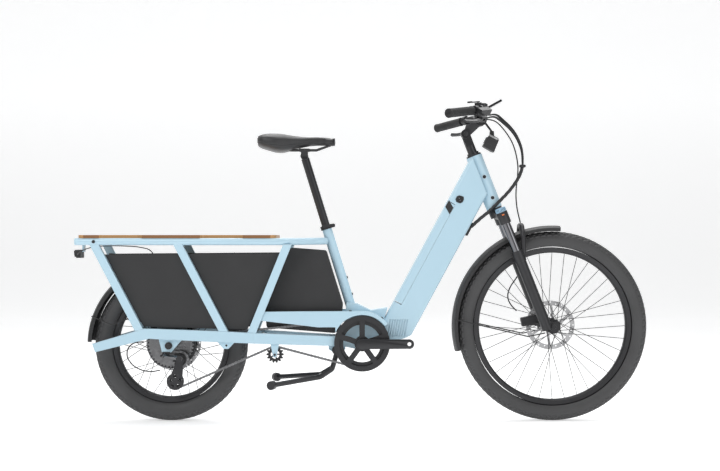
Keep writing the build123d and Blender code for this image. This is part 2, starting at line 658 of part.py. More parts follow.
def grips():
    grip = Pos(68, 0, 0) * Rot(0, 90, 0) * (Cylinder(16, 136) - Cylinder(BAR_RADIUS, 136))
    end = Pos(137.5, 0, 0) * Rot(0, 90, 0) * Cylinder(15, 3)
    return both_sides(on_grip(group(grip + end)))


def brake_body():
    ring = Pos(-20, 0, 0) * Rot(0, 90, 0) * Cylinder(17, 15)
    tank = Pos(-34, 26, 8) * Box(58, 22, 24)
    neck = Pos(-20, 14, 0) * Box(15, 12, 16)
    ears = Pos(-2, 46, -4) * Box(26, 24, 22) - Pos(4, 48, -4) * Box(30, 26, 9)
    block = tank + neck + ring + ears - Rot(0, 90, 0) * Cylinder(BAR_RADIUS, 200)
    block -= Pos(*LEVER_PIVOT) * Cylinder(3 + RUN, 40)
    return block


def bar_controls():
    shifter = Pos(-52, -2, -24) * Box(30, 34, 24) + Pos(-50, 0, 0) * Rot(0, 90, 0) * Cylinder(16, 10)
    shifter += Pos(-50, -8, 21) * Box(20, 16, 10) + Pos(-50, -4, -10) * Box(10, 20, 20)
    shifter -= Rot(0, 90, 0) * Cylinder(BAR_RADIUS, 200) + Pos(*SHIFT_PIVOT) * Cylinder(2.5 + RUN, 30)
    bar_tube = handlebar()
    return group(both_sides(on_brake(brake_body()) - bar_tube), on_grip(shifter) - bar_tube)


def brake_lever():
    x, y, z = LEVER_PIVOT
    hub = Pos(x, y, z) * Cylinder(7, 8)
    pin = Pos(x, y, z) * Cylinder(3, 21)
    blade = make_face([
        Spline((x - 4, y + 6), (x + 34, y + 15), (x + 70, y + 15), (x + 92, y + 9)),
        ThreePointArc((x + 92, y + 9), (x + 100, y + 1), (x + 90, y - 3)),
        Spline((x + 90, y - 3), (x + 70, y + 4), (x + 34, y + 4), (x - 4, y - 6)),
        Line((x - 4, y - 6), (x - 4, y + 6)),
    ])
    return hub + pin + extrude(Pos(0, 0, z - 4) * blade, 8)


def shift_lever():
    x, y, z = SHIFT_PIVOT
    paddle = Pos(x, y, z) * Cylinder(7, 4) + Pos(x + 20, y - 3, z) * Box(40, 9, 4)
    paddle += Pos(x + 42, y - 4, z + 1) * Cylinder(9, 6)
    return on_grip(paddle + Pos(x, y, z - 6) * Cylinder(2.5, 14))


def display():
    tilt = math.degrees(math.atan2(1167.4 - 1138.8, 1202.5 - 1150.5))
    case = Pos(1178, 0, 1154) * Rot(0, -tilt, 0) * Box(60, 84, 9)
    return fillet(case.edges().filter_by(Axis.Y, reverse=True), 2)


def bell():
    x, y, z = BELL_SEAT
    ring = rod((x, y - 6, z), (x, y + 6, z), 16)
    dome = Pos(x, y, z + 27) * Cylinder(18, 12) + Pos(x, y, z + 33) * Cylinder(14, 5)
    post = Pos(x, y, z + 17) * Cylinder(5, 12)
    return ring + post + dome - handlebar()


def headlight():
    x, z = HEADLIGHT_PIVOT
    outline = face_of((x - 8, z - 6), (1195, 1030), (1176, 980), (1137, 1003))
    case = side_plate(outline, -29, 29)
    case = fillet(case.edges().filter_by(Axis.Y), 4)
    lens = side_plate(face_of((1192, 1024), (1197, 1027), (1178, 980), (1174, 984)), -25, 25)
    ears = side_plate(face_of((x - 7, z + 6), (x + 7, z + 6), (x + 8, z - 12), (x - 8, z - 12)), -11, 11)
    ears -= Pos(x, 0, z) * Box(30, 2 * 8 + 2 * GAP, 2 * 7.5)
    ears -= Pos(x, 0, z + 10) * Box(30, 2 * 8 + 2 * GAP, 20)
    pin = disc(HEADLIGHT_PIVOT, -13, 13, 3)
    return group(case + ears + pin - lens, lens)


# ---------------------------------------------------------------- wheels
def tyre(centre, radius, width, bead):
    # A hollow casing whose beads sit just outside the rim's lips.
    half, height = width / 2, radius - bead
    section = Ellipse(half, height / 2) - Ellipse(half - TYRE_WALL, height / 2 - TYRE_WALL)
    section = Pos(0, radius - height / 2) * section
    section -= Pos(0, bead) * Rectangle(width, 2 * (RIM_LIP + GAP))
    return wound(section, centre)


def rim(centre, bead, width):
    half, lip = width / 2, bead + RIM_LIP
    section = face_of(
        (-7, bead - 12), (7, bead - 12), (half - 3, bead - 6), (half, lip), (half - 2.5, lip),
        (half - 2.5, bead), (0, bead - 4), (2.5 - half, bead), (2.5 - half, lip), (-half, lip),
        (3 - half, bead - 6),
    )
    return wound(section, centre)


def spokes(centre, hub_radius, rim_radius, flanges, crosses, elbow):
    # Each flange pulls half its spokes forward and half back, so that the hub can carry torque.
    made = []
    for side, flange_y in enumerate(flanges):
        for step in range(9):
            for lead in (-1, 1):
                hub_angle = 40 * step + 10 * side + 10 * lead
                rim_angle = hub_angle + lead * 20 * crosses
                hub_x, hub_z = polar(centre, hub_radius, hub_angle)
                rim_x, rim_z = polar(centre, rim_radius, rim_angle)
                lean = 3 if side == 0 else -3
                hub_y = flange_y + lead * elbow
                made.append(rod((hub_x, hub_y, hub_z), (rim_x, -lean, rim_z), SPOKE_RADIUS))
    return made


def rotor(centre, y, radius, hub_radius):
    plate = disc(centre, y - 0.9, y + 0.9, radius, radius - 17)
    for step in range(6):
        start, end = polar(centre, hub_radius - 4, 60 * step), polar(centre, radius - 14, 60 * step + 28)
        plate += bar((start[0], y, start[1]), (end[0], y, end[1]), 9, 1.8)
    plate += disc(centre, y - 0.9, y + 0.9, hub_radius, hub_radius - 9)
    for step in range(24):
        hole = polar(centre, radius - 5.5 - 5 * (step % 2), 15 * step)
        plate -= disc(hole, y - 2, y + 2, 2.6)
    return plate - disc(centre, y - 2, y + 2, hub_radius - 9)


def front_hub():
    shell = disc(FRONT_HUB, -40, 38, 15) + disc(FRONT_HUB, -36, -33, 27) + disc(FRONT_HUB, 22, 25, 27)
    shell += disc(FRONT_HUB, 36, FRONT_ROTOR_Y - 1, 22) + disc(FRONT_HUB, -50, 50, 11)
    return shell - disc(FRONT_HUB, -60, 60, AXLE_RADIUS + RUN)


def hub_motor():
    shell = disc(REAR_HUB, -24, 44, 80)
    shell = fillet(shell.edges().filter_by(GeomType.CIRCLE), 8)
    shell += disc(REAR_HUB, -16, -12, 88) + disc(REAR_HUB, 30, 34, 88)
    shell += disc(REAR_HUB, 40, REAR_ROTOR_Y - 1, 24)
    shell += disc(REAR_HUB, 40, 76, 13) + disc(REAR_HUB, -76, -20, 13)
    return shell - disc(REAR_HUB, -80, 80, AXLE_RADIUS + RUN)


# ---------------------------------------------------------------- drive
def cassette():
    stack = disc(REAR_HUB, CHAIN_Y - 3, -25, 17.5)
    for index, teeth in enumerate(CASSETTE_TEETH):
        y = CHAIN_Y + COG_SPACING * index
        stack += disc(REAR_HUB, y - 0.9, y + 0.9, pitch_radius(teeth) + 3)
    return stack - disc(REAR_HUB, -80, 0, 13 + RUN)


def chainring():
    plate = disc(BB, CHAIN_Y - 1, CHAIN_Y + 1, pitch_radius(CHAINRING_TEETH) + 3, 68)
    guard = disc(BB, -75, -70, 101, 82)
    for step in range(5):
        angle = 90 + 72 * step
        inner, outer = polar(BB, 20, angle), polar(BB, 84, angle)
        guard += bar((inner[0], -72.5, inner[1]), (outer[0], -72.5, outer[1]), 20, 5)
        foot = polar(BB, 75, angle)
        plate += disc(foot, -70, CHAIN_Y + 1, 6)
    guard += disc(BB, -75, -64, 28)
    guard -= disc(BB, -90, -50, SPINDLE_RADIUS)
    return group(plate, guard)


def crank_arms():
    right = crank_arm(BB[0] + CRANK_LENGTH)
    left = mirror(crank_arm(BB[0] - CRANK_LENGTH), about=Plane.XZ)
    spindle = disc(BB, -98, 98, SPINDLE_RADIUS)
    return group(right - spindle, left - spindle, spindle)


def crank_arm(end_x):
    side = 1 if end_x > BB[0] else -1
    boss, end = disc(BB, -100, -86, 19.5), disc((end_x, BB[1]), -100, -86, 17)
    web = face_of((BB[0], BB[1] - 18), (BB[0], BB[1] + 18), (end_x, BB[1] + 16.6), (end_x, BB[1] - 16.6))
    arm = boss + end + side_plate(web, -100, -86) + disc(BB, -86, -75 if side > 0 else -44, 17)
    return arm - disc((end_x, BB[1]), -110, -80, PEDAL_HOLE_RADIUS) - disc(BB, -110, -101, 30)


def loop_face(circles, offset):
    # The outline of a chain run round (centre, radius, turn) circles; turn is 1 inside, -1 outside.
    corners = []
    for (c1, r1, t1), (c2, r2, t2) in zip(circles, circles[1:] + circles[:1]):
        dx, dz = c2[0] - c1[0], c2[1] - c1[1]
        gap = math.hypot(dx, dz)
        k = (t1 * r1 + offset - t2 * r2 - offset) / gap
        across = math.sqrt(1 - k * k)
        nx = (k * dx - across * dz) / gap
        nz = (k * dz + across * dx) / gap
        corners.append(((c1[0] + nx * (t1 * r1 + offset), c1[1] + nz * (t1 * r1 + offset)),
                        (c2[0] + nx * (t2 * r2 + offset), c2[1] + nz * (t2 * r2 + offset))))
    edges = []
    for index, (leave, arrive) in enumerate(corners):
        edges.append(Line(leave, arrive))
        centre, radius, turn = circles[(index + 1) % len(circles)]
        after = corners[(index + 1) % len(corners)][0]
        reach = radius + turn * offset
        first = math.degrees(math.atan2(arrive[1] - centre[1], arrive[0] - centre[0]))
        last = math.degrees(math.atan2(after[1] - centre[1], after[0] - centre[0]))
        sweep_angle = (first - last) % 360 if turn > 0 else (last - first) % 360
        middle = first - turn * sweep_angle / 2
        edges.append(ThreePointArc(arrive, polar(centre, reach, middle), after))
    return make_face(edges)


def chain_circles():
    return [
        (BB, pitch_radius(CHAINRING_TEETH), 1), (IDLER, pitch_radius(IDLER_TEETH), -1),
        (TENSION, pitch_radius(PULLEY_TEETH), 1), (GUIDE, pitch_radius(PULLEY_TEETH), -1),
        (REAR_HUB, pitch_radius(COG_TEETH), 1),
    ]


def chain():
    band = loop_face(chain_circles(), 4) - loop_face(chain_circles(), -4)
    plates = [side_plate(band, CHAIN_Y + low, CHAIN_Y + low + 1.3) for low in (-3.4, 2.1)]
    return group(*plates)


def toothed_pulley(centre, teeth, holes):
    radius = pitch_radius(teeth)
    wheel = disc(centre, CHAIN_Y - 1.1, CHAIN_Y + 1.1, radius + 3)
    wheel += disc(centre, CHAIN_Y - 4, CHAIN_Y + 4, 8)
    for step in range(holes):
        middle = polar(centre, radius * 0.56, 360 / holes * step)
        wheel -= disc(middle, CHAIN_Y - 3, CHAIN_Y + 3, radius * 0.16)
    return wheel - disc(centre, CHAIN_Y - 5, CHAIN_Y + 5, 4 + RUN)


def link_axis():
    arm = Vector(*KNUCKLE_JOINT) - Vector(*LINK_JOINT)
    travel = Vector(0, 0.48, -0.877)
    return arm.cross(travel).normalized()


def link_sweep(joint):
    # The room the link takes as it swings about one of its joints through a whole shift.
    link = bar(LINK_JOINT, KNUCKLE_JOINT, 13, 12.8, flat=tuple(link_axis()))
    about = Axis(joint, tuple(link_axis()))
    sweep = link
    for angle in range(10, LINK_SWING + 1, 10):
        sweep += link.rotate(about, angle)
    return sweep


def derailleur_mount():
    # The hanger under the right dropout and the fixed knuckle with the ears that hold the links.
    x, y, z = LINK_JOINT
    hanger = side_plate(face_of((-22, 257), (6, 257), (0, 236), (-24, 234)), -90, -86.2)
    block = rod((x, -90, z), (x, -98, z), 9)
    axis = link_axis()
    joint = Vector(x, y, z)
    ears = [rod(joint + axis * (side * 6.4), joint + axis * (side * 10), 6) for side in (-1, 1)]
    pin = rod(joint - axis * 10, joint + axis * 10, 2)
    root = rod((x - 12, -94, z), (x, y, z), 5) - rod(joint - axis * 6.2, joint + axis * 6.2, 8)
    body = hanger + block - rod(joint - axis * 6.2, joint + axis * 6.2, 8) + root
    body = body - link_sweep(LINK_JOINT) + ears[0] + ears[1]
    body = max(body.solids(), key=lambda solid: solid.volume)
    return group(body, pin - body)


def derailleur_links():
    start, end = Vector(*LINK_JOINT), Vector(*KNUCKLE_JOINT)
    axis = link_axis()
    along = (end - start).normalized()
    arm = rod(start - axis * 6, start + axis * 6, 6) + rod(end - axis * 6, end + axis * 6, 6)
    arm += bar(start + along * 2, end - along * 2, 9, 12, flat=tuple(axis))
    for joint in (start, end):
        arm -= rod(joint - axis * 8, joint + axis * 8, 2 + RUN)
    return arm


def derailleur_knuckle():
    joint, axis = Vector(*KNUCKLE_JOINT), link_axis()
    ears = [rod(joint + axis * (side * 6.4), joint + axis * (side * 10), 6) for side in (-1, 1)]
    barrel = disc(CAGE_PIVOT, joint.Y - 14, CHAIN_Y - 8.2, 11)
    body = barrel - rod(joint - axis * 6.2, joint + axis * 6.2, 8.5)
    body -= link_sweep(KNUCKLE_JOINT)
    body = body + ears[0] + ears[1]
    pin = rod(joint - axis * 10, joint + axis * 10, 2)
    body = body - pin - disc(CAGE_PIVOT, CHAIN_Y - 16, CHAIN_Y - 8, 4 + RUN)
    return group(body, pin)


def derailleur_cage():
    run = Vector(TENSION[0] - GUIDE[0], TENSION[1] - GUIDE[1])
    side = Vector(-run.Y, run.X).normalized()
    g, t = Vector(*GUIDE), Vector(*TENSION)
    web = face_of(*[tuple(p)[:2] for p in (g + side * 11, t + side * 24, t - side * 24, g - side * 11)])
    plates = []
    for low in (CHAIN_Y - 8, CHAIN_Y + 4.6):
        plate = side_plate(web, low, low + 2)
        plate += disc(GUIDE, low, low + 2, 13) + disc(TENSION, low, low + 2, 31)
        for step in range(5):
            plate -= disc(polar(TENSION, 19, 72 * step + 20), low - 1, low + 3, 6)
        plate -= disc(GUIDE, low - 1, low + 3, 4) + disc(TENSION, low - 1, low + 3, 4)
        plates.append(plate)
    pins = [disc(c, CHAIN_Y - 8, CHAIN_Y + 7.4, 4) for c in (GUIDE, TENSION)]
    pivot = disc(CAGE_PIVOT, CHAIN_Y - 15, CHAIN_Y - 8, 4)
    return group(plates[0] + plates[1] + pins[0] + pins[1] + pivot)


def kickstand():
    legs = []
    for side in (-1, 1):
        route = [(603, side * 34, 243), (588, side * 38, 190), (545, side * 52, 163), (376, side * 146, 143)]
        legs.append(bent_tube(route, [16, 26], 9))
    barrel = disc(KICK_PIVOT, -42, -30.4, 16) + disc(KICK_PIVOT, 30.4, 42, 16)
    axle = disc(KICK_PIVOT, -44, 44, 6)
    cross = rod((545, -52, 163), (545, 52, 163), 7)
    frame = legs[0] + legs[1] - disc(KICK_PIVOT, -30.4, 30.4, 40) + barrel + axle + cross
    feet = [rod((379, side * 138, 143), (371, side * 156, 142.6), 16) for side in (-1, 1)]
    return group(frame - feet[0] - feet[1], *feet)


def front_caliper():
    x, z = polar(FRONT_HUB, 80, 168)
    body = Pos(x, FRONT_ROTOR_Y, z) * Rot(0, 78, 0) * Box(34, 30, 62)
    body = fillet(body.edges(), 5)
    body -= disc(FRONT_HUB, FRONT_ROTOR_Y - 2, FRONT_ROTOR_Y + 2, 94)
    body += bar((x + 4, 58, z), steer(445, LEG_LEAD - 12, 62), 40, 7)
    return body - leg_rod(1, 150, 520, LEG_RADIUS + 0.02)


def front_fender():
    shell = wound(fender_profile(364, 38.5, 20), FRONT_HUB, -104.6, 109)
    stays = []
    for side in (-1, 1):
        stay = bent_tube([(1030, side * 37, 372), (1295, side * 84, 312), (1356, side * 86, 325)], [20], 2.2)
        stays.append(stay - leg_rod(side, 150, 520, LEG_RADIUS))
    x, z = polar(FRONT_HUB, 373, 107.4)
    bracket = Pos(x, 0, z) * Rot(0, -17.4, 0) * Box(16, 24, 16)
    bracket -= disc(FRONT_HUB, -20, 20, 367.4) + fork_arch()
    lobes = [max((stay - shell).solids(), key=lambda solid: solid.volume) for stay in stays]
    return group(shell, bracket, *lobes)


def control_cables():
    # The bundle that loops from the bar ahead of the head tube and back into the down tube.
    bundle = cable([(1158, -40, 1112), (1178, -36, 1118), (1204, -26, 1098), (1246, -14, 1062),
                    (1272, -8, 1020), (1286, -6, 972), (1284, -8, 928), (1268, -14, 884), (1236, -26, 840),
                    (1196, -38, 800), (1160, -39, 764), (1122, -30, 734), (1096, -18, 708)], 6)
    hose = cable([(1160, 60, 1110), (1186, 56, 1106), (1220, 48, 1072), (1254, 42, 1020), (1270, 36, 960),
                  (1272, 32, 900), (1264, 36, 840), (1268, 42, 780), (1284, 52, 720), (1300, 64, 664)], 2.5)
    lower = cable([(1304, 92, 600), (1296, 93, 560), (1276, 95, 520), (1250, 94, 486), (1238, 90, 450),
                   (1250, 84, 416), (1272, 76, 396)], 2.5)
    return group(bundle, hose, lower)


# ---------------------------------------------------------------- save every node
def save(node, *shapes):
    whole = group(*[Pos(-ORIGIN_X, 0, 0) * shape for shape in shapes])
    export_step(whole, f"parts/{node}.step")


os.makedirs("parts", exist_ok=True)

save("main_frame", head_tube(), seat_tube(), crank_housing())
save("down_tube", down_tube() - crank_housing())
save("rack_frame", *rack_rails(), *[both_sides(strut) for strut in struts()], tail_bracket())
rail = lower_rail()
idler_tab = frame_tab([(365, 292), (398, 290), (388, 236), (376, 236)], -84, -78, IDLER, 4)
running_board_tab = frame_tab([(172, 298), (240, 294), (216, 268), (198, 268)], -92, -84, (208, 280), 4)
save("chainstay_frame", both_sides(rail), both_sides(dropout()), both_sides(upper_stay()), *lower_crossings(),
     idler_tab, both_sides(running_board_tab))
save("bearing_cups", bearing_cups())
save("deck_board", deck_board())
deck, plugs, nuts, stay_bolts, idler, bottle = frame_bolts()
axle = disc(REAR_HUB, -100, 100, AXLE_RADIUS)
save("frame_bolts", *deck, *[both_sides(plug) for plug in plugs], both_sides(nuts[0] - axle), seat_collar(),
     *[both_sides(bolt) for bolt in stay_bolts], idler, *bottle, axle)
save("side_panels", side_panels())
save("frame_bag", frame_bag())
save("tail_light", tail_light())
save("rear_fender", rear_fender())
save("rear_caliper", rear_caliper())
save("motor_controller", controller())
save("rear_cables", rear_cables())
save("derailleur_mount", derailleur_mount())
save("chain", chain())
save("battery_pack", battery_pack())
save("battery_cover", battery_cover())
save("battery_lock", battery_lock())
save("collar_lever", collar_lever())
save("seatpost", seatpost())
save("saddle_base", saddle_base())
save("saddle_cover", saddle_cover())
save("fork_crown", fork_crown())
save("stanchions", stanchions())
save("stem_quill", stem_quill())
save("stem_arm", stem_arm())
save("handlebar", handlebar())
save("grips", grips())
save("bar_controls", bar_controls())
save("display", display())
save("bell", bell())
save("control_cables", control_cables())
lever = on_brake(brake_lever())
save("brake_lever_right", lever)
save("brake_lever_left", mirror(lever, about=Plane.XZ))
save("shift_lever", shift_lever())
save("headlight", headlight())
save("fork_lowers", fork_lowers())
save("front_caliper", front_caliper())
save("front_fender", front_fender())
save("front_rim", rim(FRONT_HUB, FRONT_BEAD_RADIUS, 34))
save("front_tyre", tyre(FRONT_HUB, FRONT_TYRE_RADIUS, FRONT_TYRE_WIDTH, FRONT_BEAD_RADIUS))
save("front_spokes", *spokes(FRONT_HUB, 24, FRONT_BEAD_RADIUS - 13, (-34.5, 23.5), 3, 3.8))
save("front_hub", front_hub())
save("front_rotor", rotor(FRONT_HUB, FRONT_ROTOR_Y, FRONT_ROTOR_RADIUS, 24))
save("rear_rim", rim(REAR_HUB, REAR_BEAD_RADIUS, 46))
save("rear_tyre", tyre(REAR_HUB, REAR_TYRE_RADIUS, REAR_TYRE_WIDTH, REAR_BEAD_RADIUS))
save("rear_spokes", *spokes(REAR_HUB, 85, REAR_BEAD_RADIUS - 13, (-14, 32), 1, 4.6))
save("hub_motor", hub_motor())
save("rear_rotor", rotor(REAR_HUB, REAR_ROTOR_Y, REAR_ROTOR_RADIUS, 26))
save("cassette", cassette())
save("chainring", chainring())
save("crank_arms", crank_arms())
save("derailleur_links", derailleur_links())
save("derailleur_knuckle", derailleur_knuckle())
save("derailleur_cage", derailleur_cage())
save("guide_pulley", toothed_pulley(GUIDE, PULLEY_TEETH, 0))
save("tension_pulley", toothed_pulley(TENSION, PULLEY_TEETH, 5))
save("idler_pulley", toothed_pulley(IDLER, IDLER_TEETH, 5))
save("kickstand", kickstand())
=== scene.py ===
import json
import math

import bmesh
import bpy
from mathutils import Matrix, Vector


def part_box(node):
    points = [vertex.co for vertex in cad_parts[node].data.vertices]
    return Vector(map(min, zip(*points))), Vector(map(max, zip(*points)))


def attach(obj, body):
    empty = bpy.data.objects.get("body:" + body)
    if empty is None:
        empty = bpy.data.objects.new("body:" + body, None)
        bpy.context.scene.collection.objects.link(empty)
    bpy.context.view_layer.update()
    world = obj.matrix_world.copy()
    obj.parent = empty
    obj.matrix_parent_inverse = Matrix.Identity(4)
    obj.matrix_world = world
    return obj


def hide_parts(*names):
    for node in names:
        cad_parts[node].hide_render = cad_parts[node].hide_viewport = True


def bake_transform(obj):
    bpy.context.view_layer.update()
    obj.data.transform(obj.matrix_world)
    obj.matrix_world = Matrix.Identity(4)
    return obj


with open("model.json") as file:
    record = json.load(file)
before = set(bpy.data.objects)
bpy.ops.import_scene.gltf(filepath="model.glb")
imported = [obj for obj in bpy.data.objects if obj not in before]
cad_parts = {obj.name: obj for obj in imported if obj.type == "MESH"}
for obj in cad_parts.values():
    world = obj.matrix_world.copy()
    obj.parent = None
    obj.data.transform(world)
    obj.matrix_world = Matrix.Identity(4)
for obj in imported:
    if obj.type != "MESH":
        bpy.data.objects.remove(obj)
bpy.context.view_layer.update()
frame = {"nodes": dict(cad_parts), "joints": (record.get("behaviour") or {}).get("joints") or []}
scene = bpy.context.scene
nodes = frame["nodes"]
joints = {joint["name"]: joint for joint in frame["joints"]}
scene.view_settings.view_transform = "Standard"
print("frame loaded:", len(nodes), "nodes")


# Small makers that every piece uses

def centreOf(node):
    low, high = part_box(node)
    return (low + high) / 2


def pivotOf(joint):
    return Vector(joints[joint]["pos_m"])


def pieceFrom(name, vertices, faces, smooth=True):
    mesh = bpy.data.meshes.new(name)
    mesh.from_pydata([tuple(v) for v in vertices], [], faces)
    mesh.validate()
    for polygon in mesh.polygons:
        polygon.use_smooth = smooth
    piece = bpy.data.objects.new(name, mesh)
    scene.collection.objects.link(piece)
    return piece


def sharpEdges(piece, degrees=35):
    # keeps flat faces flat and round ones round
    mesh = piece.data
    work = bmesh.new()
    work.from_mesh(mesh)
    bmesh.ops.recalc_face_normals(work, faces=work.faces)
    limit = math.radians(degrees)
    for edge in work.edges:
        if len(edge.link_faces) == 2 and edge.calc_face_angle() > limit:
            edge.smooth = False
    work.to_mesh(mesh)
    work.free()
    return piece


def softened(piece, width, segments=2, degrees=35):
    # rounds the edges that turn more than the given angle, and keeps the result
    edit = piece.modifiers.new("soften", "BEVEL")
    edit.width = width
    edit.segments = segments
    edit.limit_method = "ANGLE"
    edit.angle_limit = math.radians(degrees)
    edit.harden_normals = False
    return applied(piece)


def applied(piece):
    view = bpy.context.evaluated_depsgraph_get()
    mesh = bpy.data.meshes.new_from_object(piece.evaluated_get(view))
    old = piece.data
    piece.modifiers.clear()
    piece.data = mesh
    bpy.data.meshes.remove(old)
    return piece


def crossRings(path, ring, closed=False, turn=0.0):
    # sweeps ring(step) -> list of (side, up) along a path and returns vertices and faces
    count = len(path)
    vertices, faces = [], []
    up = Vector((0, 1, 0))
    for step, point in enumerate(path):
        before = path[step - 1] if step or closed else path[step]
        after = path[(step + 1) % count] if step < count - 1 or closed else path[step]
        along = (after - before).normalized()
        side = along.cross(up)
        if side.length < 1e-4:
            side = along.cross(Vector((1, 0, 0)))
        side.normalize()
        lift = side.cross(along).normalized()
        up = lift
        spin = turn * step
        c, s = math.cos(spin), math.sin(spin)
        for a, b in ring(step):
            vertices.append(point + side * (a * c - b * s) + lift * (a * s + b * c))
    size = len(vertices) // count
    for step in range(count if closed else count - 1):
        low, high = step * size, ((step + 1) % count) * size
        for k in range(size):
            after = (k + 1) % size
            faces.append((low + k, low + after, high + after, high + k))
    if not closed:
        faces.append(tuple(range(size - 1, -1, -1)))
        faces.append(tuple((count - 1) * size + k for k in range(size)))
    return vertices, faces


def roundRing(radius, sides=12):
    return [(radius * math.cos(math.tau * k / sides), radius * math.sin(math.tau * k / sides))
            for k in range(sides)]


def hoseAlong(name, path, radius, sides=12):
    ring = roundRing(radius, sides)
    return pieceFrom(name, *crossRings(path, lambda step: ring))


def smoothPath(points, steps=6):
    # a NURBS line through the neighbourhood of the points, evenly read
    curve = bpy.data.curves.new("path", "CURVE")
    curve.dimensions = "3D"
    curve.resolution_u = steps
    spline = curve.splines.new("NURBS")
    spline.points.add(len(points) - 1)
    for point, place in zip(spline.points, points):
        point.co = (*place, 1)
    spline.order_u = 3
    spline.use_endpoint_u = True
    holder = bpy.data.objects.new("path", curve)
    mesh = bpy.data.meshes.new_from_object(holder)
    path = [v.co.copy() for v in mesh.vertices]
    bpy.data.objects.remove(holder)
    bpy.data.curves.remove(curve)
    bpy.data.meshes.remove(mesh)
    return path


def turnedPiece(name, profile, centre, steps=96, closed=False):
    # turns (y, radius) points about an axis along Y
    vertices, faces = [], []
    size = len(profile)
    for step in range(steps):
        angle = math.tau * step / steps
        c, s = math.cos(angle), math.sin(angle)
        for y, radius in profile:
            vertices.append((centre[0] + radius * c, centre[1] + y, centre[2] + radius * s))
    rows = size if closed else size - 1
    for step in range(steps):
        here, there = step * size, ((step + 1) % steps) * size
        for k in range(rows):
            after = (k + 1) % size
            faces.append((here + k, there + k, there + after, here + after))
    return pieceFrom(name, vertices, faces)


def joined(name, pieces):
    # one piece made of several, with their materials kept
    work = bmesh.new()
    slots = []
    for piece in pieces:
        start = len(work.faces)
        work.from_mesh(piece.data)
        work.faces.ensure_lookup_table()
        for face in work.faces[start:]:
            own = piece.data.materials
            material = own[face.material_index] if len(own) else None
            if material not in slots:
                slots.append(material)
            face.material_index = slots.index(material)
    mesh = bpy.data.meshes.new(name)
    work.to_mesh(mesh)
    work.free()
    for material in slots:
        mesh.materials.append(material)
    for piece in pieces:
        bpy.data.objects.remove(piece)
    whole = bpy.data.objects.new(name, mesh)
    scene.collection.objects.link(whole)
    return whole


def boxPiece(name, size, place, turn=None, soft=0.001):
    # a block with softened edges; turn is a rotation matrix
    work = bmesh.new()
    bmesh.ops.create_cube(work, size=1)
    for vertex in work.verts:
        vertex.co = Vector((vertex.co.x * size[0], vertex.co.y * size[1], vertex.co.z * size[2]))
    bmesh.ops.bevel(work, geom=work.edges[:], offset=soft, segments=3, profile=0.5, affect="EDGES")
    spot = Matrix.Translation(Vector(place)) @ (turn.to_4x4() if turn else Matrix.Identity(4))
    bmesh.ops.transform(work, matrix=spot, verts=work.verts)
    mesh = bpy.data.meshes.new(name)
    work.to_mesh(mesh)
    work.free()
    for polygon in mesh.polygons:
        polygon.use_smooth = True
    piece = bpy.data.objects.new(name, mesh)
    scene.collection.objects.link(piece)
    return sharpEdges(piece, 40)


def painted(piece, material):
    piece.data.materials.clear()
    piece.data.materials.append(material)
    return piece


def placed(piece, body, slot, *stands):
    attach(piece, body)
    if stands:
        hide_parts(*stands)
    return piece


# Camera, lights and floor

view = {"place": (-0.021, -5.0, 0.676), "fieldWidth": 2.638, "shift": 0.007, "film": 36.0}
studio = {"floor": (0.90, 0.905, 0.91), "sky": 0.32, "glow": 0.40, "key": 88,
          "fill": 32, "top": 66, "rim": 44}


def makeCamera():
    camera = bpy.data.cameras.new("sideView")
    camera.sensor_width = view["film"]
    camera.lens = view["film"] * -view["place"][1] / view["fieldWidth"]
    camera.shift_x = view["shift"]
    holder = bpy.data.objects.new("sideView", camera)
    holder.location = view["place"]
    holder.rotation_euler = (math.radians(90), 0, 0)
    scene.collection.objects.link(holder)
    scene.camera = holder


def makeLight(name, place, target, size, power, colour=(1, 1, 1)):
    light = bpy.data.lights.new(name, "AREA")
    light.shape = "RECTANGLE"
    light.size, light.size_y = size
    light.energy = power
    light.color = colour
    holder = bpy.data.objects.new(name, light)
    holder.location = place
    holder.rotation_euler = (Vector(target) - Vector(place)).to_track_quat("-Z", "Y").to_euler()
    scene.collection.objects.link(holder)


def makeStudio():
    sky = bpy.data.worlds.new("studioSky")
    sky.use_nodes = True
    sky.node_tree.nodes["Background"].inputs["Color"].default_value = (1, 1, 1, 1)
    sky.node_tree.nodes["Background"].inputs["Strength"].default_value = studio["sky"]
    scene.world = sky
    makeLight("key", (-2.2, -3.4, 3.4), (0, 0, 0.5), (2.6, 2.0), studio["key"])
    makeLight("fill", (3.0, -3.2, 1.6), (0.2, 0, 0.6), (2.4, 2.0), studio["fill"])
    makeLight("top", (0.2, 0.3, 3.6), (0, 0, 0.4), (3.2, 1.6), studio["top"])
    makeLight("rim", (0.5, 1.9, 3.4), (0, 0, 0.6), (3.0, 1.0), studio["rim"])

    # one sheet: floor, a round bend, then a wall behind
    reach, depth, bend, wall, steps = 20.0, 8.0, 2.0, 9.0, 16
    line = [(-14.0, 0.0), (depth - bend, 0.0)]
    for step in range(1, steps + 1):
        angle = math.pi / 2 * step / steps
        line.append((depth - bend + bend * math.sin(angle), bend - bend * math.cos(angle)))
    line.append((depth, wall))
    vertices = [(x, y, z) for x in (-reach, reach) for y, z in line]
    faces = [(k, k + 1, len(line) + k + 1, len(line) + k) for k in range(len(line) - 1)]
    sheet = pieceFrom("studioFloor", vertices, faces)
    paper = bpy.data.materials.new("studioPaper")
    paper.use_nodes = True
    shader = paper.node_tree.nodes["Principled BSDF"]
    shader.inputs["Base Color"].default_value = (*studio["floor"], 1)
    shader.inputs["Roughness"].default_value = 0.9
    shader.inputs["Emission Color"].default_value = (1, 1, 1, 1)
    shader.inputs["Emission Strength"].default_value = studio["glow"]
    painted(sheet, paper)


makeCamera()
makeStudio()
print("camera, lights and floor are set")


# Shared effects, each a node group that is built once

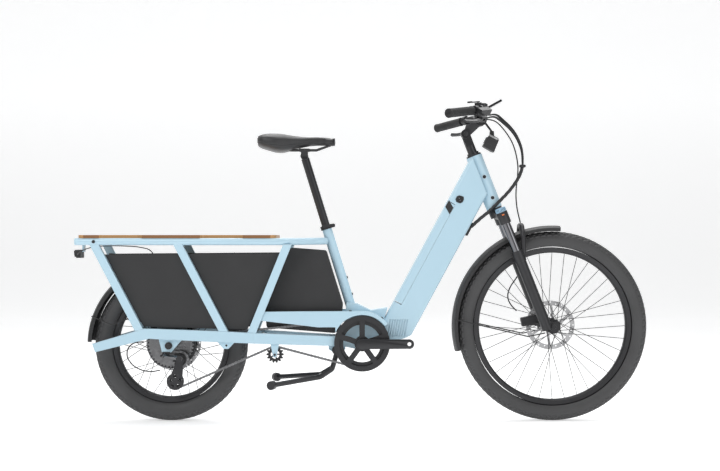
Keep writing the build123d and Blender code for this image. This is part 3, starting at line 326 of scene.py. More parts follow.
def groupTree(name, inputs, outputs):
    tree = bpy.data.node_groups.new(name, "ShaderNodeTree")
    for label, kind, value in inputs:
        socket = tree.interface.new_socket(name=label, in_out="INPUT", socket_type=kind)
        socket.default_value = value
    for label, kind in outputs:
        tree.interface.new_socket(name=label, in_out="OUTPUT", socket_type=kind)
    return tree, tree.nodes.new("NodeGroupInput"), tree.nodes.new("NodeGroupOutput")


def addNode(tree, kind, **values):
    node = tree.nodes.new(kind)
    for name, value in values.items():
        setattr(node, name, value)
    return node


number, colour, direction = "NodeSocketFloat", "NodeSocketColor", "NodeSocketVector"


def makeGrainGroup():
    # fine moulded or cast grain: a mask for roughness, a patchy mask for colour, and a normal
    tree, given, result = groupTree(
        "moulded grain", [("Scale", number, 900.0), ("Depth", number, 0.1), ("Patch Scale", number, 9.0)],
        [("Grain", number), ("Patches", number), ("Normal", direction)])
    place = addNode(tree, "ShaderNodeTexCoord")
    fine = addNode(tree, "ShaderNodeTexNoise")
    fine.inputs["Detail"].default_value = 3
    broad = addNode(tree, "ShaderNodeTexNoise")
    broad.inputs["Detail"].default_value = 4
    bump = addNode(tree, "ShaderNodeBump")
    bump.inputs["Distance"].default_value = 0.0006
    link = tree.links.new
    link(place.outputs["Object"], fine.inputs["Vector"])
    link(place.outputs["Object"], broad.inputs["Vector"])
    link(given.outputs["Scale"], fine.inputs["Scale"])
    link(given.outputs["Patch Scale"], broad.inputs["Scale"])
    link(given.outputs["Depth"], bump.inputs["Strength"])
    link(fine.outputs["Fac"], bump.inputs["Height"])
    link(fine.outputs["Fac"], result.inputs["Grain"])
    link(broad.outputs["Fac"], result.inputs["Patches"])
    link(bump.outputs["Normal"], result.inputs["Normal"])
    return tree


def makeEdgeGroup():
    # softened edges: a rounded normal, and a mask that is high along each edge, where a painted highlight
    # goes
    tree, given, result = groupTree(
        "softened edge", [("Width", number, 0.002), ("Gain", number, 3.0), ("Normal", direction, (0, 0, 0))],
        [("Highlight Mask", number), ("Normal", direction)])
    rounded = addNode(tree, "ShaderNodeBevel", samples=6)
    plain = addNode(tree, "ShaderNodeNewGeometry")
    dot = addNode(tree, "ShaderNodeVectorMath", operation="DOT_PRODUCT")
    away = addNode(tree, "ShaderNodeMath", operation="SUBTRACT")
    away.inputs[0].default_value = 1
    gain = addNode(tree, "ShaderNodeMath", operation="MULTIPLY", use_clamp=True)
    link = tree.links.new
    link(given.outputs["Width"], rounded.inputs["Radius"])
    link(given.outputs["Normal"], rounded.inputs["Normal"])
    link(rounded.outputs["Normal"], dot.inputs[0])
    link(plain.outputs["True Normal"], dot.inputs[1])
    link(dot.outputs["Value"], away.inputs[1])
    link(away.outputs["Value"], gain.inputs[0])
    link(given.outputs["Gain"], gain.inputs[1])
    link(gain.outputs["Value"], result.inputs["Highlight Mask"])
    link(rounded.outputs["Normal"], result.inputs["Normal"])
    return tree


grainGroup = makeGrainGroup()
edgeGroup = makeEdgeGroup()


def placeGroup(tree, group, **values):
    node = addNode(tree, "ShaderNodeGroup", node_tree=group)
    for label, value in values.items():
        node.inputs[label.replace("_", " ")].default_value = value
    return node


def spread(tree, source, low, high):
    # maps a 0 to 1 mask to a range
    node = addNode(tree, "ShaderNodeMapRange")
    node.inputs["To Min"].default_value = low
    node.inputs["To Max"].default_value = high
    tree.links.new(source, node.inputs["Value"])
    return node.outputs["Result"]


def blendColours(tree, mask, first, second):
    node = addNode(tree, "ShaderNodeMix", data_type="RGBA")
    tree.links.new(mask, node.inputs["Factor"])
    for place, given in ((6, first), (7, second)):
        if hasattr(given, "links"):
            tree.links.new(given, node.inputs[place])
        else:
            node.inputs[place].default_value = (*given, 1)
    return node.outputs[2]


def newFinish(name):
    material = bpy.data.materials.new(name)
    material.use_nodes = True
    return material, material.node_tree, material.node_tree.nodes["Principled BSDF"]


def coatedFinish(name, look):
    # paint, anodising or moulded plastic, from the numbers in look
    material, tree, shader = newFinish(name)
    grain = placeGroup(tree, grainGroup, Scale=look["grain"], Depth=look["depth"],
                       Patch_Scale=look["patches"])
    edge = placeGroup(tree, edgeGroup, Width=look["edgeWidth"], Gain=look["edgeHighlightGain"])
    link = tree.links.new
    link(grain.outputs["Normal"], edge.inputs["Normal"])
    link(edge.outputs["Normal"], shader.inputs["Normal"])
    body = blendColours(tree, grain.outputs["Patches"], look["dark"], look["light"])
    # the colour turns toward look's edge colour along every edge: a painted highlight
    link(blendColours(tree, edge.outputs["Highlight Mask"], body, look["edge"]), shader.inputs["Base Color"])
    link(spread(tree, grain.outputs["Grain"], *look["roughness"]), shader.inputs["Roughness"])
    shader.inputs["Metallic"].default_value = look.get("metal", 0.0)
    shader.inputs["Coat Weight"].default_value = look.get("coat", 0.0)
    shader.inputs["Coat Roughness"].default_value = look.get("coatRoughness", 0.15)
    shader.inputs["Specular IOR Level"].default_value = look.get("shine", 0.5)
    return material


# each finish's edge colour is lighter than its body: a painted highlight along the edges
finishes = {
    "framePaint": dict(
        grain=700, depth=0.05, patches=3, dark=(0.415, 0.595, 0.70), light=(0.45, 0.63, 0.735),
        edge=(0.60, 0.76, 0.85), edgeWidth=0.004, edgeHighlightGain=1.6, roughness=(0.34, 0.44), coat=0.35,
        coatRoughness=0.22),
    "blackMetal": dict(
        grain=1400, depth=0.08, patches=14, dark=(0.020, 0.020, 0.022), light=(0.032, 0.032, 0.035),
        edge=(0.10, 0.10, 0.105), edgeWidth=0.0012, edgeHighlightGain=2.0, roughness=(0.34, 0.46), metal=0.35,
        shine=0.6),
    "satinTube": dict(
        grain=900, depth=0.04, patches=10, dark=(0.026, 0.026, 0.028), light=(0.036, 0.036, 0.039),
        edge=(0.09, 0.09, 0.095), edgeWidth=0.001, edgeHighlightGain=1.6, roughness=(0.26, 0.34), metal=0.5,
        shine=0.6),
    "mouldedBlack": dict(
        grain=1100, depth=0.22, patches=12, dark=(0.014, 0.014, 0.015), light=(0.022, 0.022, 0.023),
        edge=(0.05, 0.05, 0.052), edgeWidth=0.0014, edgeHighlightGain=1.5, roughness=(0.46, 0.60)),
    "glossBlack": dict(
        grain=1500, depth=0.02, patches=8, dark=(0.006, 0.006, 0.007), light=(0.010, 0.010, 0.011),
        edge=(0.03, 0.03, 0.03), edgeWidth=0.001, edgeHighlightGain=1.5, roughness=(0.10, 0.18), coat=0.6,
        coatRoughness=0.05),
    "cableSheath": dict(
        grain=2200, depth=0.12, patches=40, dark=(0.012, 0.012, 0.013), light=(0.020, 0.020, 0.021),
        edge=(0.03, 0.03, 0.03), edgeWidth=0.0006, edgeHighlightGain=1.0, roughness=(0.38, 0.50)),
    "softRubber": dict(
        grain=1800, depth=0.25, patches=20, dark=(0.016, 0.016, 0.017), light=(0.028, 0.028, 0.029),
        edge=(0.05, 0.05, 0.05), edgeWidth=0.001, edgeHighlightGain=1.2, roughness=(0.58, 0.74)),
    "tyreRubber": dict(
        grain=1500, depth=0.25, patches=16, dark=(0.040, 0.040, 0.041), light=(0.058, 0.058, 0.060),
        edge=(0.085, 0.085, 0.088), edgeWidth=0.0012, edgeHighlightGain=1.4, roughness=(0.50, 0.66)),
    "rotorSteel": dict(
        grain=2600, depth=0.15, patches=30, dark=(0.42, 0.42, 0.43), light=(0.56, 0.56, 0.57),
        edge=(0.75, 0.75, 0.76), edgeWidth=0.0005, edgeHighlightGain=1.5, roughness=(0.26, 0.40), metal=1.0),
    "chainSteel": dict(
        grain=2600, depth=0.15, patches=60, dark=(0.10, 0.10, 0.105), light=(0.26, 0.26, 0.265),
        edge=(0.60, 0.60, 0.61), edgeWidth=0.0004, edgeHighlightGain=1.8, roughness=(0.24, 0.40), metal=1.0),
    "spokeSteel": dict(
        grain=2200, depth=0.05, patches=30, dark=(0.030, 0.030, 0.031), light=(0.045, 0.045, 0.046),
        edge=(0.08, 0.08, 0.08), edgeWidth=0.0003, edgeHighlightGain=1.0, roughness=(0.28, 0.40), metal=0.6),
    "darkChrome": dict(
        grain=1800, depth=0.02, patches=6, dark=(0.13, 0.13, 0.14), light=(0.19, 0.19, 0.20),
        edge=(0.4, 0.4, 0.4), edgeWidth=0.0008, edgeHighlightGain=1.0, roughness=(0.09, 0.16), metal=1.0),
    "sealBlue": dict(
        grain=1200, depth=0.06, patches=10, dark=(0.30, 0.50, 0.68), light=(0.36, 0.56, 0.73),
        edge=(0.5, 0.68, 0.8), edgeWidth=0.0006, edgeHighlightGain=1.4, roughness=(0.30, 0.42), metal=0.4),
    "markOrange": dict(
        grain=1200, depth=0.03, patches=20, dark=(0.72, 0.16, 0.03), light=(0.82, 0.22, 0.05),
        edge=(0.9, 0.35, 0.1), edgeWidth=0.0004, edgeHighlightGain=1.0, roughness=(0.35, 0.45)),
    "paleRing": dict(
        grain=1200, depth=0.03, patches=20, dark=(0.60, 0.72, 0.79), light=(0.66, 0.78, 0.84),
        edge=(0.75, 0.85, 0.9), edgeWidth=0.0005, edgeHighlightGain=1.0, roughness=(0.30, 0.40)),
    "lampRed": dict(
        grain=900, depth=0.05, patches=14, dark=(0.28, 0.008, 0.008), light=(0.40, 0.015, 0.012),
        edge=(0.6, 0.05, 0.04), edgeWidth=0.0008, edgeHighlightGain=1.2, roughness=(0.12, 0.20), coat=0.7,
        coatRoughness=0.05),
    "lampClear": dict(
        grain=900, depth=0.05, patches=60, dark=(0.42, 0.44, 0.46), light=(0.66, 0.68, 0.70),
        edge=(0.85, 0.86, 0.88), edgeWidth=0.0008, edgeHighlightGain=1.2, roughness=(0.10, 0.18), coat=0.8,
        coatRoughness=0.04),
    "stitchGrey": dict(
        grain=3000, depth=0.3, patches=60, dark=(0.06, 0.06, 0.062), light=(0.10, 0.10, 0.102),
        edge=(0.12, 0.12, 0.12), edgeWidth=0.0003, edgeHighlightGain=1.0, roughness=(0.6, 0.8)),
}
finish = {name: coatedFinish(name, look) for name, look in finishes.items()}

boardLook = {"dark": (0.40, 0.195, 0.070), "light": (0.62, 0.345, 0.135), "seam": (0.24, 0.11, 0.04),
             "stripWidth": 0.021, "grainStretch": 26.0, "roughness": (0.36, 0.52)}


def boardFinish():
    # laminated strips along the bicycle, each with its own tone, and long fine grain
    material, tree, shader = newFinish("oiledBoard")
    link = tree.links.new
    place = addNode(tree, "ShaderNodeTexCoord")
    parts = addNode(tree, "ShaderNodeSeparateXYZ")
    link(place.outputs["Object"], parts.inputs[0])
    strip = addNode(tree, "ShaderNodeMath", operation="DIVIDE")
    strip.inputs[1].default_value = boardLook["stripWidth"]
    link(parts.outputs["Y"], strip.inputs[0])
    index = addNode(tree, "ShaderNodeMath", operation="FLOOR")
    link(strip.outputs[0], index.inputs[0])
    tone = addNode(tree, "ShaderNodeTexWhiteNoise", noise_dimensions="1D")
    link(index.outputs[0], tone.inputs["W"])
    within = addNode(tree, "ShaderNodeMath", operation="FRACT")
    link(strip.outputs[0], within.inputs[0])
    seam = addNode(tree, "ShaderNodeMath", operation="COMPARE")
    seam.inputs[1].default_value = 0.0
    seam.inputs[2].default_value = 0.035
    link(within.outputs[0], seam.inputs[0])
    stretch = addNode(tree, "ShaderNodeMapping")
    stretch.inputs["Scale"].default_value = (1, boardLook["grainStretch"], boardLook["grainStretch"])
    link(place.outputs["Object"], stretch.inputs["Vector"])
    lines = addNode(tree, "ShaderNodeTexNoise")
    lines.inputs["Scale"].default_value = 14
    lines.inputs["Detail"].default_value = 6
    lines.inputs["Distortion"].default_value = 0.6
    link(stretch.outputs["Vector"], lines.inputs["Vector"])
    level = addNode(tree, "ShaderNodeMath", operation="MULTIPLY_ADD", use_clamp=True)
    level.inputs[1].default_value = 0.45
    link(tone.outputs["Value"], level.inputs[0])
    link(spread(tree, lines.outputs["Fac"], -0.15, 0.65), level.inputs[2])
    wood = blendColours(tree, level.outputs[0], boardLook["dark"], boardLook["light"])
    link(blendColours(tree, seam.outputs[0], wood, boardLook["seam"]), shader.inputs["Base Color"])
    link(spread(tree, lines.outputs["Fac"], *boardLook["roughness"]), shader.inputs["Roughness"])
    bump = addNode(tree, "ShaderNodeBump")
    bump.inputs["Strength"].default_value = 0.18
    bump.inputs["Distance"].default_value = 0.0008
    link(lines.outputs["Fac"], bump.inputs["Height"])
    edge = placeGroup(tree, edgeGroup, Width=0.002, Gain=1.0)
    link(bump.outputs["Normal"], edge.inputs["Normal"])
    link(edge.outputs["Normal"], shader.inputs["Normal"])
    shader.inputs["Coat Weight"].default_value = 0.12
    return material


leatherLook = {"dark": (0.012, 0.012, 0.013), "light": (0.026, 0.026, 0.028), "pebble": 520.0,
               "roughness": (0.44, 0.62)}


def leatherFinish():
    # pebbled cells with a soft sheen
    material, tree, shader = newFinish("saddleLeather")
    link = tree.links.new
    place = addNode(tree, "ShaderNodeTexCoord")
    cells = addNode(tree, "ShaderNodeTexVoronoi", feature="DISTANCE_TO_EDGE")
    cells.inputs["Scale"].default_value = leatherLook["pebble"]
    link(place.outputs["Object"], cells.inputs["Vector"])
    grain = placeGroup(tree, grainGroup, Scale=1600, Depth=0.1, Patch_Scale=18)
    link(blendColours(tree, grain.outputs["Patches"], leatherLook["dark"], leatherLook["light"]),
         shader.inputs["Base Color"])
    link(spread(tree, cells.outputs["Distance"], *leatherLook["roughness"]), shader.inputs["Roughness"])
    bump = addNode(tree, "ShaderNodeBump")
    bump.inputs["Strength"].default_value = 0.35
    bump.inputs["Distance"].default_value = 0.0005
    link(cells.outputs["Distance"], bump.inputs["Height"])
    link(grain.outputs["Normal"], bump.inputs["Normal"])
    link(bump.outputs["Normal"], shader.inputs["Normal"])
    shader.inputs["Sheen Weight"].default_value = 0.15
    return material


finish["board"] = boardFinish()
finish["leather"] = leatherFinish()
print("finishes are made:", len(finish))

# Which finish each carried-over node gets
nodeFinish = {
    "framePaint": ["main_frame", "down_tube", "rack_frame", "chainstay_frame", "battery_cover"],
    "board": ["deck_board"],
    "mouldedBlack": ["side_panels", "frame_bag", "tail_light", "rear_fender", "front_fender",
                     "motor_controller", "battery_pack", "shift_lever", "saddle_base", "headlight",
                     "guide_pulley", "tension_pulley", "idler_pulley"],
    "blackMetal": ["bearing_cups", "frame_bolts", "rear_caliper", "derailleur_mount", "battery_lock",
                   "collar_lever", "fork_crown", "fork_lowers", "bar_controls", "bell", "brake_lever_right",
                   "brake_lever_left", "front_caliper", "front_hub", "hub_motor", "chainring", "crank_arms",
                   "derailleur_knuckle", "derailleur_cage", "kickstand", "front_rim", "rear_rim"],
    "satinTube": ["seatpost", "stem_quill", "stem_arm", "handlebar"],
    "cableSheath": ["rear_cables", "control_cables"],
    "chainSteel": ["chain", "cassette", "derailleur_links"],
    "softRubber": ["grips"],
    "leather": ["saddle_cover"],
    "darkChrome": ["stanchions"],
    "glossBlack": ["display"],
    "tyreRubber": ["front_tyre", "rear_tyre"],
    "spokeSteel": ["front_spokes", "rear_spokes"],
    "rotorSteel": ["front_rotor", "rear_rotor"],
}
for name, carried in nodeFinish.items():
    for node in carried:
        painted(nodes[node], finish[name])
print("carried-over nodes have their finishes")


# Carried-over shapes whose solids need more than one finish

def recoated(node, body, slot, choose, soften=0.0):
    # a copy of the node, each of its solids in the finish that choose(centre, size) names
    mesh = nodes[node].data.copy()
    work = bmesh.new()
    work.from_mesh(mesh)
    bmesh.ops.remove_doubles(work, verts=work.verts, dist=1e-6)
    bmesh.ops.dissolve_limit(work, angle_limit=0.001, verts=work.verts, edges=work.edges)
    names, seen = [], set()
    for start in work.faces:
        if start in seen:
            continue
        solid, edge = [], [start]
        seen.add(start)
        while edge:
            face = edge.pop()
            solid.append(face)
            for near in (other for line in face.edges for other in line.link_faces):
                if near not in seen:
                    seen.add(near)
                    edge.append(near)
        corners = [vertex.co for face in solid for vertex in face.verts]
        low = Vector([min(c[axis] for c in corners) for axis in range(3)])
        high = Vector([max(c[axis] for c in corners) for axis in range(3)])
        name = choose((low + high) / 2, high - low)
        if name not in names:
            names.append(name)
        for face in solid:
            face.material_index = names.index(name)
            face.smooth = True
    work.to_mesh(mesh)
    work.free()
    mesh.materials.clear()
    for name in names:
        mesh.materials.append(finish[name])
    piece = bpy.data.objects.new(node + "_shown", mesh)
    scene.collection.objects.link(piece)
    if soften:
        softened(piece, soften)
    sharpEdges(piece)
    return placed(piece, body, slot, node)


recoated("battery_cover", "battery", "cover_paint",
         lambda centre, size: "mouldedBlack" if size.z < 0.1 else "framePaint")
recoated("tail_light", "frame", "lamp_plastic",
         lambda centre, size: "lampRed" if size.x < 0.015 else "mouldedBlack")
recoated("headlight", "headlight", "lamp_plastic",
         lambda centre, size: "lampClear" if size.y < 0.052 else "mouldedBlack", 0.0015)
recoated("saddle_base", "saddle", "black_plastic",
         lambda centre, size: "darkChrome" if size.y < 0.03 else "mouldedBlack")
recoated("kickstand", "kickstand", "black_metal",
         lambda centre, size: "softRubber" if size.x < 0.06 else "blackMetal")
recoated("fork_crown", "steering", "black_metal",
         lambda centre, size: "sealBlue" if size.y < 0.045 and abs(centre.y) > 0.03 else "blackMetal", 0.0015)
recoated("stem_arm", "stem", "black_metal",
         lambda centre, size: "blackMetal" if size.y < 0.05 else "satinTube", 0.0012)
recoated("crank_arms", "crank", "black_metal", lambda centre, size: "satinTube", 0.0022)
print("recoated pieces are placed")


# Tyres: a casing with tread blocks and ridged sides

tyreLook = {
    "front": {"spin": "front_wheel_spin", "tyre": "front_tyre", "rim": "front_rim", "body": "front_wheel",
              "pitches": 92},
    "rear": {"spin": "rear_wheel_spin", "tyre": "rear_tyre", "rim": "rear_rim", "body": "rear_wheel",
             "pitches": 74},
    "stepsPerPitch": 8, "treadAngle": 58, "rows": 7, "stepsPerRow": 5, "grooveDepth": 0.0030,
    "lipHeight": 0.008,
    "wall": 0.004, "sideSteps": 12, "sideRidge": 0.0005,
}


def blockHeight(along, across):
    # 1 on a block, 0 in a groove; every other row is shifted by half a pitch
    row = math.floor(across)
    cross = abs(across - row - 0.5) * 2
    run = abs((along + 0.5 * (row % 2)) % 1 - 0.5) * 2
    edge = 0.80 if row % 2 else 0.74
    return max(0.0, min(1.0, (0.84 - cross) * 8)) * max(0.0, min(1.0, (edge - run) * 8))


def makeTyre(look):
    centre = pivotOf(look["spin"])
    low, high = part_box(look["tyre"])
    rimLow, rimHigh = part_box(look["rim"])
    radius, half = (high.z - low.z) / 2, (high.y - low.y) / 2
    bead = (rimHigh.z - rimLow.z) / 2 - tyreLook["lipHeight"]
    height = radius - bead
    middle, tall = radius - height / 2, height / 2
    tread = math.radians(tyreLook["treadAngle"])
    lowest = bead + tyreLook["lipHeight"] + 0.0006
    last = math.acos(max(-1, min(1, (lowest - middle) / tall)))
    rows = tyreLook["rows"]
    inTread = rows * tyreLook["stepsPerRow"]
    outline = []
    for k in range(tyreLook["sideSteps"]):
        outline.append((-last + (last - tread) * k / tyreLook["sideSteps"], None))
    for k in range(inTread + 1):
        outline.append((-tread + 2 * tread * k / inTread, rows * k / inTread))
    for k in range(1, tyreLook["sideSteps"] + 1):
        outline.append((tread + (last - tread) * k / tyreLook["sideSteps"], None))
    around = look["pitches"] * tyreLook["stepsPerPitch"]
    vertices, faces = [], []
    for step in range(around):
        angle = math.tau * step / around
        c, s = math.cos(angle), math.sin(angle)
        along = step / tyreLook["stepsPerPitch"]
        ring = []
        for bend, row in outline:
            if row is None:
                rise = 0.5 + 0.5 * math.cos(abs(bend) * 46)
                inward = tyreLook["grooveDepth"] * 0.9 - tyreLook["sideRidge"] * rise
            else:
                inward = tyreLook["grooveDepth"] * (1 - blockHeight(along, min(row, rows - 1e-6)))
            ring.append(((half - inward) * math.sin(bend), middle + (tall - inward) * math.cos(bend)))
        for bend, row in reversed(outline[::4]):
            deep = tyreLook["wall"] + 0.001
            ring.append(((half - deep) * math.sin(bend), middle + (tall - deep) * math.cos(bend)))
        for y, reach in ring:
            vertices.append((centre.x + reach * c, centre.y + y, centre.z + reach * s))
    size = len(vertices) // around
    for step in range(around):
        here, there = step * size, ((step + 1) % around) * size
        for k in range(size):
            after = (k + 1) % size
            faces.append((here + k, here + after, there + after, there + k))
    tyre = sharpEdges(pieceFrom(look["tyre"] + "_shown", vertices, faces), 50)
    painted(tyre, finish["tyreRubber"])
    return placed(tyre, look["body"], "tyre", look["tyre"])


for end in ("front", "rear"):
    makeTyre(tyreLook[end])
print("tyres are made")


# Chain wheels and chain

driveLook = {
    "pitch": 0.0127, "ringTeeth": 44, "cogTeeth": 11, "pulleyTeeth": 13, "idlerTeeth": 14,
    "cogs": [11, 13, 15, 18, 21, 26, 32, 40], "cogStep": 0.0048, "cogThick": 0.0018,
    "plateReach": 0.0043, "plateWaist": 0.0032, "plateThick": 0.0009, "rollerRadius": 0.0039,
    "pinRadius": 0.0018,
    "innerPlate": 0.0022, "outerPlate": 0.0033,
}
chainLine = centreOf("chain").y


def pitchRadius(teeth):
    return driveLook["pitch"] / (2 * math.sin(math.pi / teeth))


def toothedRing(name, centre, y, teeth, inner, thick):
    # one flat sprocket with rounded valleys and blunt teeth
    radius = pitchRadius(teeth)
    shape = [(0.00, 0.0030), (0.12, 0.0030), (0.26, 0.0004), (0.38, -0.0028),
             (0.50, -0.0038), (0.62, -0.0028), (0.74, 0.0004), (0.88, 0.0030)]
    rim = []
    for tooth in range(teeth):
        for part, rise in shape:
            rim.append((math.tau * (tooth + part) / teeth, radius + rise))
    vertices, faces, size = [], [], len(rim)
    for side in (-thick / 2, thick / 2):
        for reach in (None, inner):
            for angle, out in rim:
                far = out if reach is None else reach
                x, z = centre[0] + far * math.cos(angle), centre[2] + far * math.sin(angle)
                vertices.append((x, y + side, z))
    for k in range(size):
        a = (k + 1) % size
        faces.append((k, a, size + a, size + k))
        faces.append((2 * size + k, 3 * size + k, 3 * size + a, 2 * size + a))
        faces.append((k, 2 * size + k, 2 * size + a, a))
        faces.append((size + k, size + a, 3 * size + a, 3 * size + k))
    return sharpEdges(pieceFrom(name, vertices, faces), 30)


def makeCassette():
    centre = pivotOf("cassette_spin")
    parts = []
    for step, teeth in enumerate(driveLook["cogs"]):
        y = chainLine + driveLook["cogStep"] * step
        parts.append(toothedRing(f"cog{step}", centre, y, teeth, 0.0132, driveLook["cogThick"]))
    core = [(chainLine - 0.003, 0.0135), (chainLine - 0.003, 0.0172), (-0.0252, 0.0172), (-0.0252, 0.0135)]
    parts.append(turnedPiece("core", core, (centre.x, 0, centre.z), 48, closed=True))
    cassette = joined("cassette_shown", [painted(part, finish["chainSteel"]) for part in parts])
    return placed(cassette, "cassette", "rotor_steel", "cassette")


def makePulley(node, body, teeth, spokes):
    centre, radius = centreOf(node), pitchRadius(teeth)
    thick, hub, inner = 0.0022, 0.008, radius * 0.55
    parts = [toothedRing("teeth", centre, centre.y, teeth, inner if spokes else 0.0041, thick)]
    bush = [(-0.004, 0.0041), (-0.004, hub), (0.004, hub), (0.004, 0.0041)]
    parts.append(turnedPiece("bush", bush, centre, 32, closed=True))
    for step in range(spokes):
        angle = math.tau * step / spokes
        reach = (hub + inner) / 2
        place = centre + Vector((math.cos(angle), 0, math.sin(angle))) * reach
        turn = Matrix.Rotation(-angle, 3, "Y")
        parts.append(boxPiece("arm", (inner - hub + 0.002, thick, 0.005), place, turn, 0.0004))
    pulley = joined(node + "_shown", [painted(part, finish["mouldedBlack"]) for part in parts])
    return placed(pulley, body, "black_plastic", node)


def chainPins():
    # the pins' places round the whole chain, one pitch apart
    circles = [
        (pivotOf("crank_spin"), driveLook["ringTeeth"], 1),
        (centreOf("idler_pulley"), driveLook["idlerTeeth"], -1),
        (centreOf("tension_pulley"), driveLook["pulleyTeeth"], 1),
        (centreOf("guide_pulley"), driveLook["pulleyTeeth"], -1),
        (pivotOf("cassette_spin"), driveLook["cogTeeth"], 1),
    ]
    circles = [(Vector((c.x, c.z)), pitchRadius(teeth), turn) for c, teeth, turn in circles]
    runs = []
    for (c1, r1, t1), (c2, r2, t2) in zip(circles, circles[1:] + circles[:1]):
        span = c2 - c1
        gap = span.length
        k = (t1 * r1 - t2 * r2) / gap
        across = math.sqrt(1 - k * k)
        out = Vector((k * span.x - across * span.y, k * span.y + across * span.x)) / gap
        runs.append((c1 + out * t1 * r1, c2 + out * t2 * r2))
    path = []
    for step, (leave, arrive) in enumerate(runs):
        path.extend(leave.lerp(arrive, part / 60) for part in range(60))
        centre, radius, turn = circles[(step + 1) % len(circles)]
        after = runs[(step + 1) % len(runs)][0]
        first = math.atan2(arrive.y - centre.y, arrive.x - centre.x)
        last = math.atan2(after.y - centre.y, after.x - centre.x)
        bend = ((first - last) if turn > 0 else (last - first)) % math.tau
        for part in range(60):
            angle = first - turn * bend * part / 60
            path.append(centre + Vector((math.cos(angle), math.sin(angle))) * radius)
    lengths = [(b - a).length for a, b in zip(path, path[1:] + path[:1])]
    links = 2 * round(sum(lengths) / driveLook["pitch"] / 2)
    spacing, pins, travelled, wanted = sum(lengths) / links, [], 0.0, 0.0
    for (a, b), length in zip(zip(path, path[1:] + path[:1]), lengths):
        while wanted < travelled + length and len(pins) < links:
            pins.append(a.lerp(b, (wanted - travelled) / max(length, 1e-9)))
            wanted += spacing
        travelled += length
    return pins


def makeChain():
    pins = chainPins()
    vertices, faces = [], []

    def addPrism(outline, low, high):
        start, size = len(vertices), len(outline)
        for y in (low, high):
            vertices.extend((x, y, z) for x, z in outline)
        faces.append(tuple(start + k for k in range(size)))
        faces.append(tuple(start + size + k for k in reversed(range(size))))
        for k in range(size):
            a = (k + 1) % size
            faces.append((start + a, start + k, start + size + k, start + size + a))

    for step, here in enumerate(pins):
        there = pins[(step + 1) % len(pins)]
        along = (there - here).normalized()
        across = Vector((-along.y, along.x))
        outline = []
        for end, sign in ((there, 1), (here, -1)):
            for part in range(-4, 5):
                angle = part * math.radians(28)
                out = along * math.cos(angle) * sign + across * math.sin(angle) * sign
                spot = end + out * driveLook["plateReach"]
                outline.append(tuple(spot))
            outline.append(tuple((here + there) / 2 + across * sign * driveLook["plateWaist"]))
        level = driveLook["outerPlate"] if step % 2 else driveLook["innerPlate"]
        for side in (-1, 1):
            near = chainLine + side * level
            low, high = sorted((near, near + side * driveLook["plateThick"]))
            addPrism(outline, low, high)
        for radius, reach in ((driveLook["rollerRadius"], 0.0021), (driveLook["pinRadius"], 0.0046)):
            spin = [(here.x + side, here.y + up) for side, up in roundRing(radius, 12)]
            addPrism(spin, chainLine - reach, chainLine + reach)
    chain = sharpEdges(pieceFrom("chain_shown", vertices, faces), 30)
    painted(chain, finish["chainSteel"])
    return placed(chain, "frame", "chain_steel", "chain")


makeCassette()
makePulley("guide_pulley", "guide_pulley", driveLook["pulleyTeeth"], 0)
makePulley("tension_pulley", "tension_pulley", driveLook["pulleyTeeth"], 5)
makePulley("idler_pulley", "idler_pulley", driveLook["idlerTeeth"], 5)
makeChain()
print("chain and chain wheels are made")


# Saddle: a padded cover with a seam along each side and a relief channel

saddleLook = {
    "stations": [
        (-0.3775, 0.052, 1.0395, 1.003), (-0.368, 0.07, 1.0445, 0.997), (-0.345, 0.08, 1.0462, 0.99),
        (-0.315, 0.0825, 1.0462, 0.9815), (-0.288, 0.075, 1.0452, 0.9795), (-0.26, 0.056, 1.0412, 0.9865),
        (-0.23, 0.0395, 1.0372, 0.9965), (-0.195, 0.0285, 1.0352, 1.0035), (-0.16, 0.024, 1.0352, 1.0065),
        (-0.13, 0.0212, 1.0322, 1.0065), (-0.106, 0.02, 1.032, 1.004), (-0.091, 0.0175, 1.029, 1.005),
    ],
    "squareness": 0.72, "ringSteps": 44, "pressure": 4, "frames": 20, "swell": 0.0022, "seamHeight": 0.36,
    "seamDepth": 0.0018, "seamWidth": 0.0016, "channelDepth": 0.0035, "channelWidth": 0.014, "fill": 0.95,
    "stitchPitch": 0.0062, "stitch": (0.0034, 0.0008, 0.0008),
}


def stuffed(piece):
    # lets the cover swell as stuffed cloth, and keeps each point near where it started
    before = [vertex.co.copy() for vertex in piece.data.vertices]
    cloth = piece.modifiers.new("cloth", "CLOTH")
    cloth.settings.use_pressure = True
    cloth.settings.uniform_pressure_force = saddleLook["pressure"]
    cloth.settings.effector_weights.gravity = 0
    cloth.point_cache.frame_end = saddleLook["frames"]
    for step in range(1, saddleLook["frames"] + 1):
        scene.frame_set(step)
    applied(piece)
    scene.frame_set(1)
    for vertex, start in zip(piece.data.vertices, before):
        shift = vertex.co - start
        if shift.length > saddleLook["swell"]:
            vertex.co = start + shift * (saddleLook["swell"] / shift.length)


